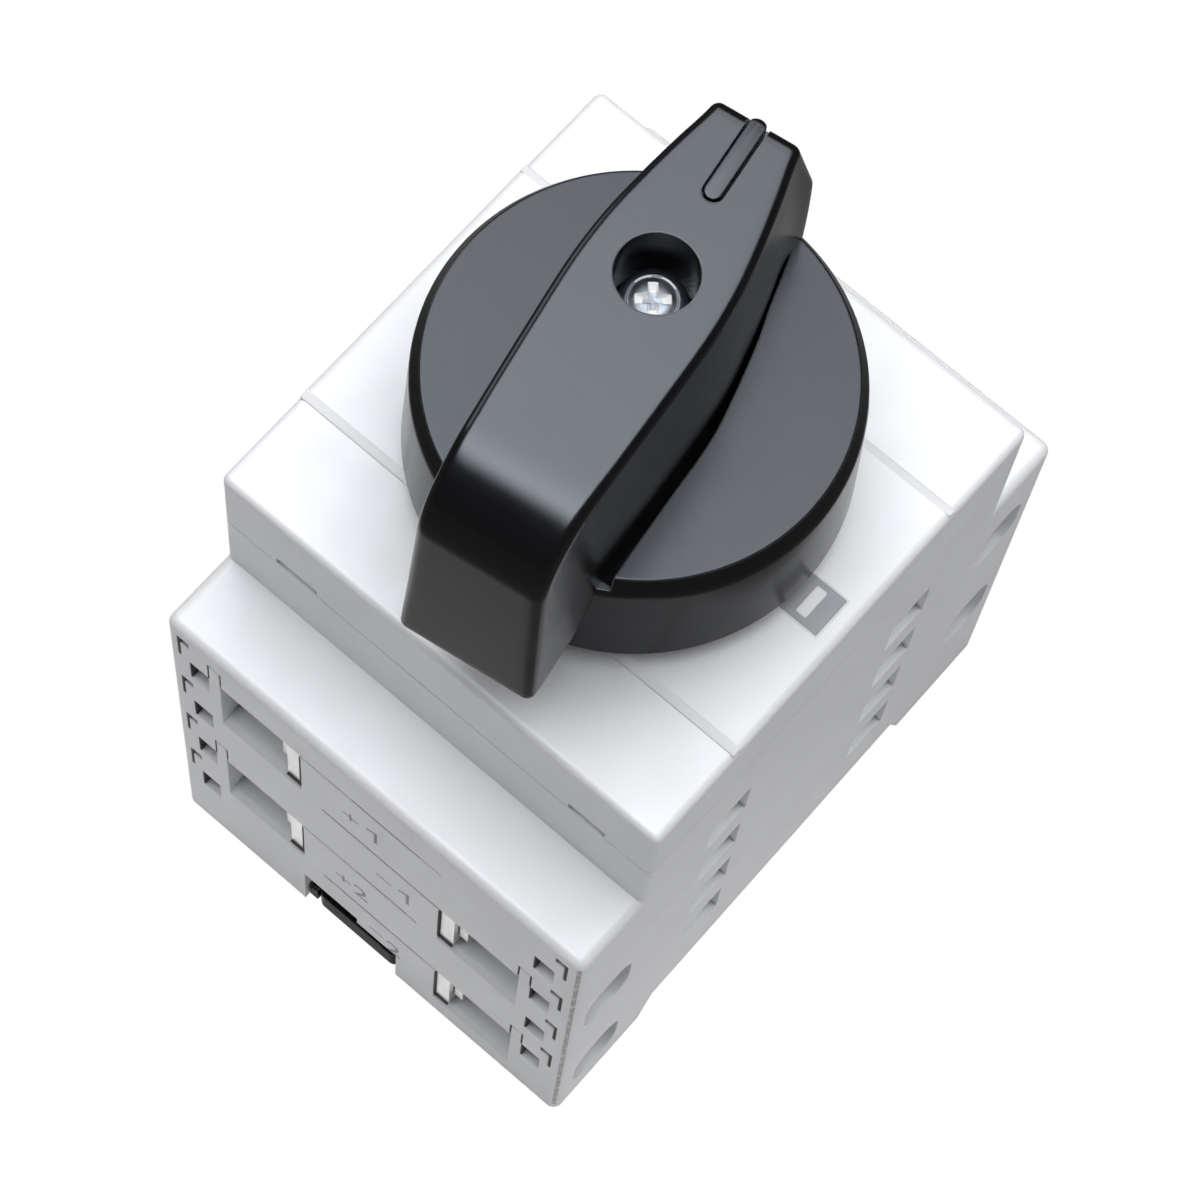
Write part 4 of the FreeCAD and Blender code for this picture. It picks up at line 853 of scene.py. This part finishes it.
# Light: a broad soft box overhead, weak fills from two sides, soft boxes for the gloss, dim surroundings
def area(name, place, target, size, watts, color=(1.0, 1.0, 1.0)):
    data = bpy.data.lights.new(name, "AREA")
    data.shape = "RECTANGLE"
    data.size, data.size_y = size
    data.energy = watts
    data.color = color
    lamp = bpy.data.objects.new(name, data)
    direction = Vector(target) - Vector(place)
    lamp.matrix_world = Matrix.Translation(place) @ direction.to_track_quat("-Z", "Y").to_matrix().to_4x4()
    bpy.context.scene.collection.objects.link(lamp)
    return lamp


def fade_edge(lamp):
    """Makes a soft box fade towards its terminal side, so that a rounded form darkens gently."""
    lamp.data.use_nodes = True
    tree = lamp.data.node_tree
    place = tree.nodes.new("ShaderNodeNewGeometry")
    split = tree.nodes.new("ShaderNodeSeparateXYZ")
    link(tree, place.outputs["Parametric"], split.inputs["Vector"])
    stops = [(0.0, 0.0), (0.12, 0.45), (0.25, 1.2), (0.33, 1.35), (0.5, 1.15), (0.72, 1.0), (0.77, 0.95),
             (0.83, 0.76), (1.0, 0.7)]
    link(tree, ramp(tree, split.outputs["Y"], stops), tree.nodes["Emission"].inputs["Strength"])


area("soft_box_top", (-0.12, 0.17, 1.3), (-0.02, 0.0, 0.1), (1.6, 1.5), 23.6).visible_glossy = False
for name, place, size, watts in (("fill_terminal_side", (-0.1, -1.6, 0.1), (1.2, 0.8), 0.8),
                                 ("fill_right_side", (1.6, 0.1, 0.3), (1.2, 0.8), 3.3)):
    area(name, place, (0.0, 0.0, 0.05), size, watts).visible_glossy = False
COOL = (0.82, 0.89, 1.0)
sheen = area("sheen_top", (-0.2, 0.0, 1.32), (-0.2, 0.0, 0.0), (1.3, 1.6), 41.0, COOL)
sheen.visible_diffuse = False
fade_edge(sheen)
side_sheen = area("sheen_left", (-1.38, 0.25, 0.6), (0.0, 0.0, 0.16), (0.5, 0.8), 3.4, COOL)
side_sheen.visible_diffuse = False
world = bpy.data.worlds.new("studio")
world.use_nodes = True
world.node_tree.nodes["Background"].inputs["Color"].default_value = (0.92, 0.95, 1.0, 1.0)
world.node_tree.nodes["Background"].inputs["Strength"].default_value = 0.06
bpy.context.scene.world = world

# Camera, fitted to the photograph
data = bpy.data.cameras.new("camera")
data.sensor_width = 36.0
data.lens = 124.29
data.clip_end = 10.0
camera = bpy.data.objects.new("camera", data)
right = Vector((0.75755, 0.65054, 0.0541)).normalized()
back = Vector((0.18171, -0.28975, 0.93969)).normalized()
up = back.cross(right).normalized()
right = up.cross(back)
turn = Matrix((right, up, back)).transposed().to_4x4()
camera.matrix_world = Matrix.Translation(Vector((0.10379, -0.16651, 0.59064))) @ turn
bpy.context.scene.collection.objects.link(camera)
bpy.context.scene.camera = camera
bpy.context.scene.view_settings.view_transform = "Standard"
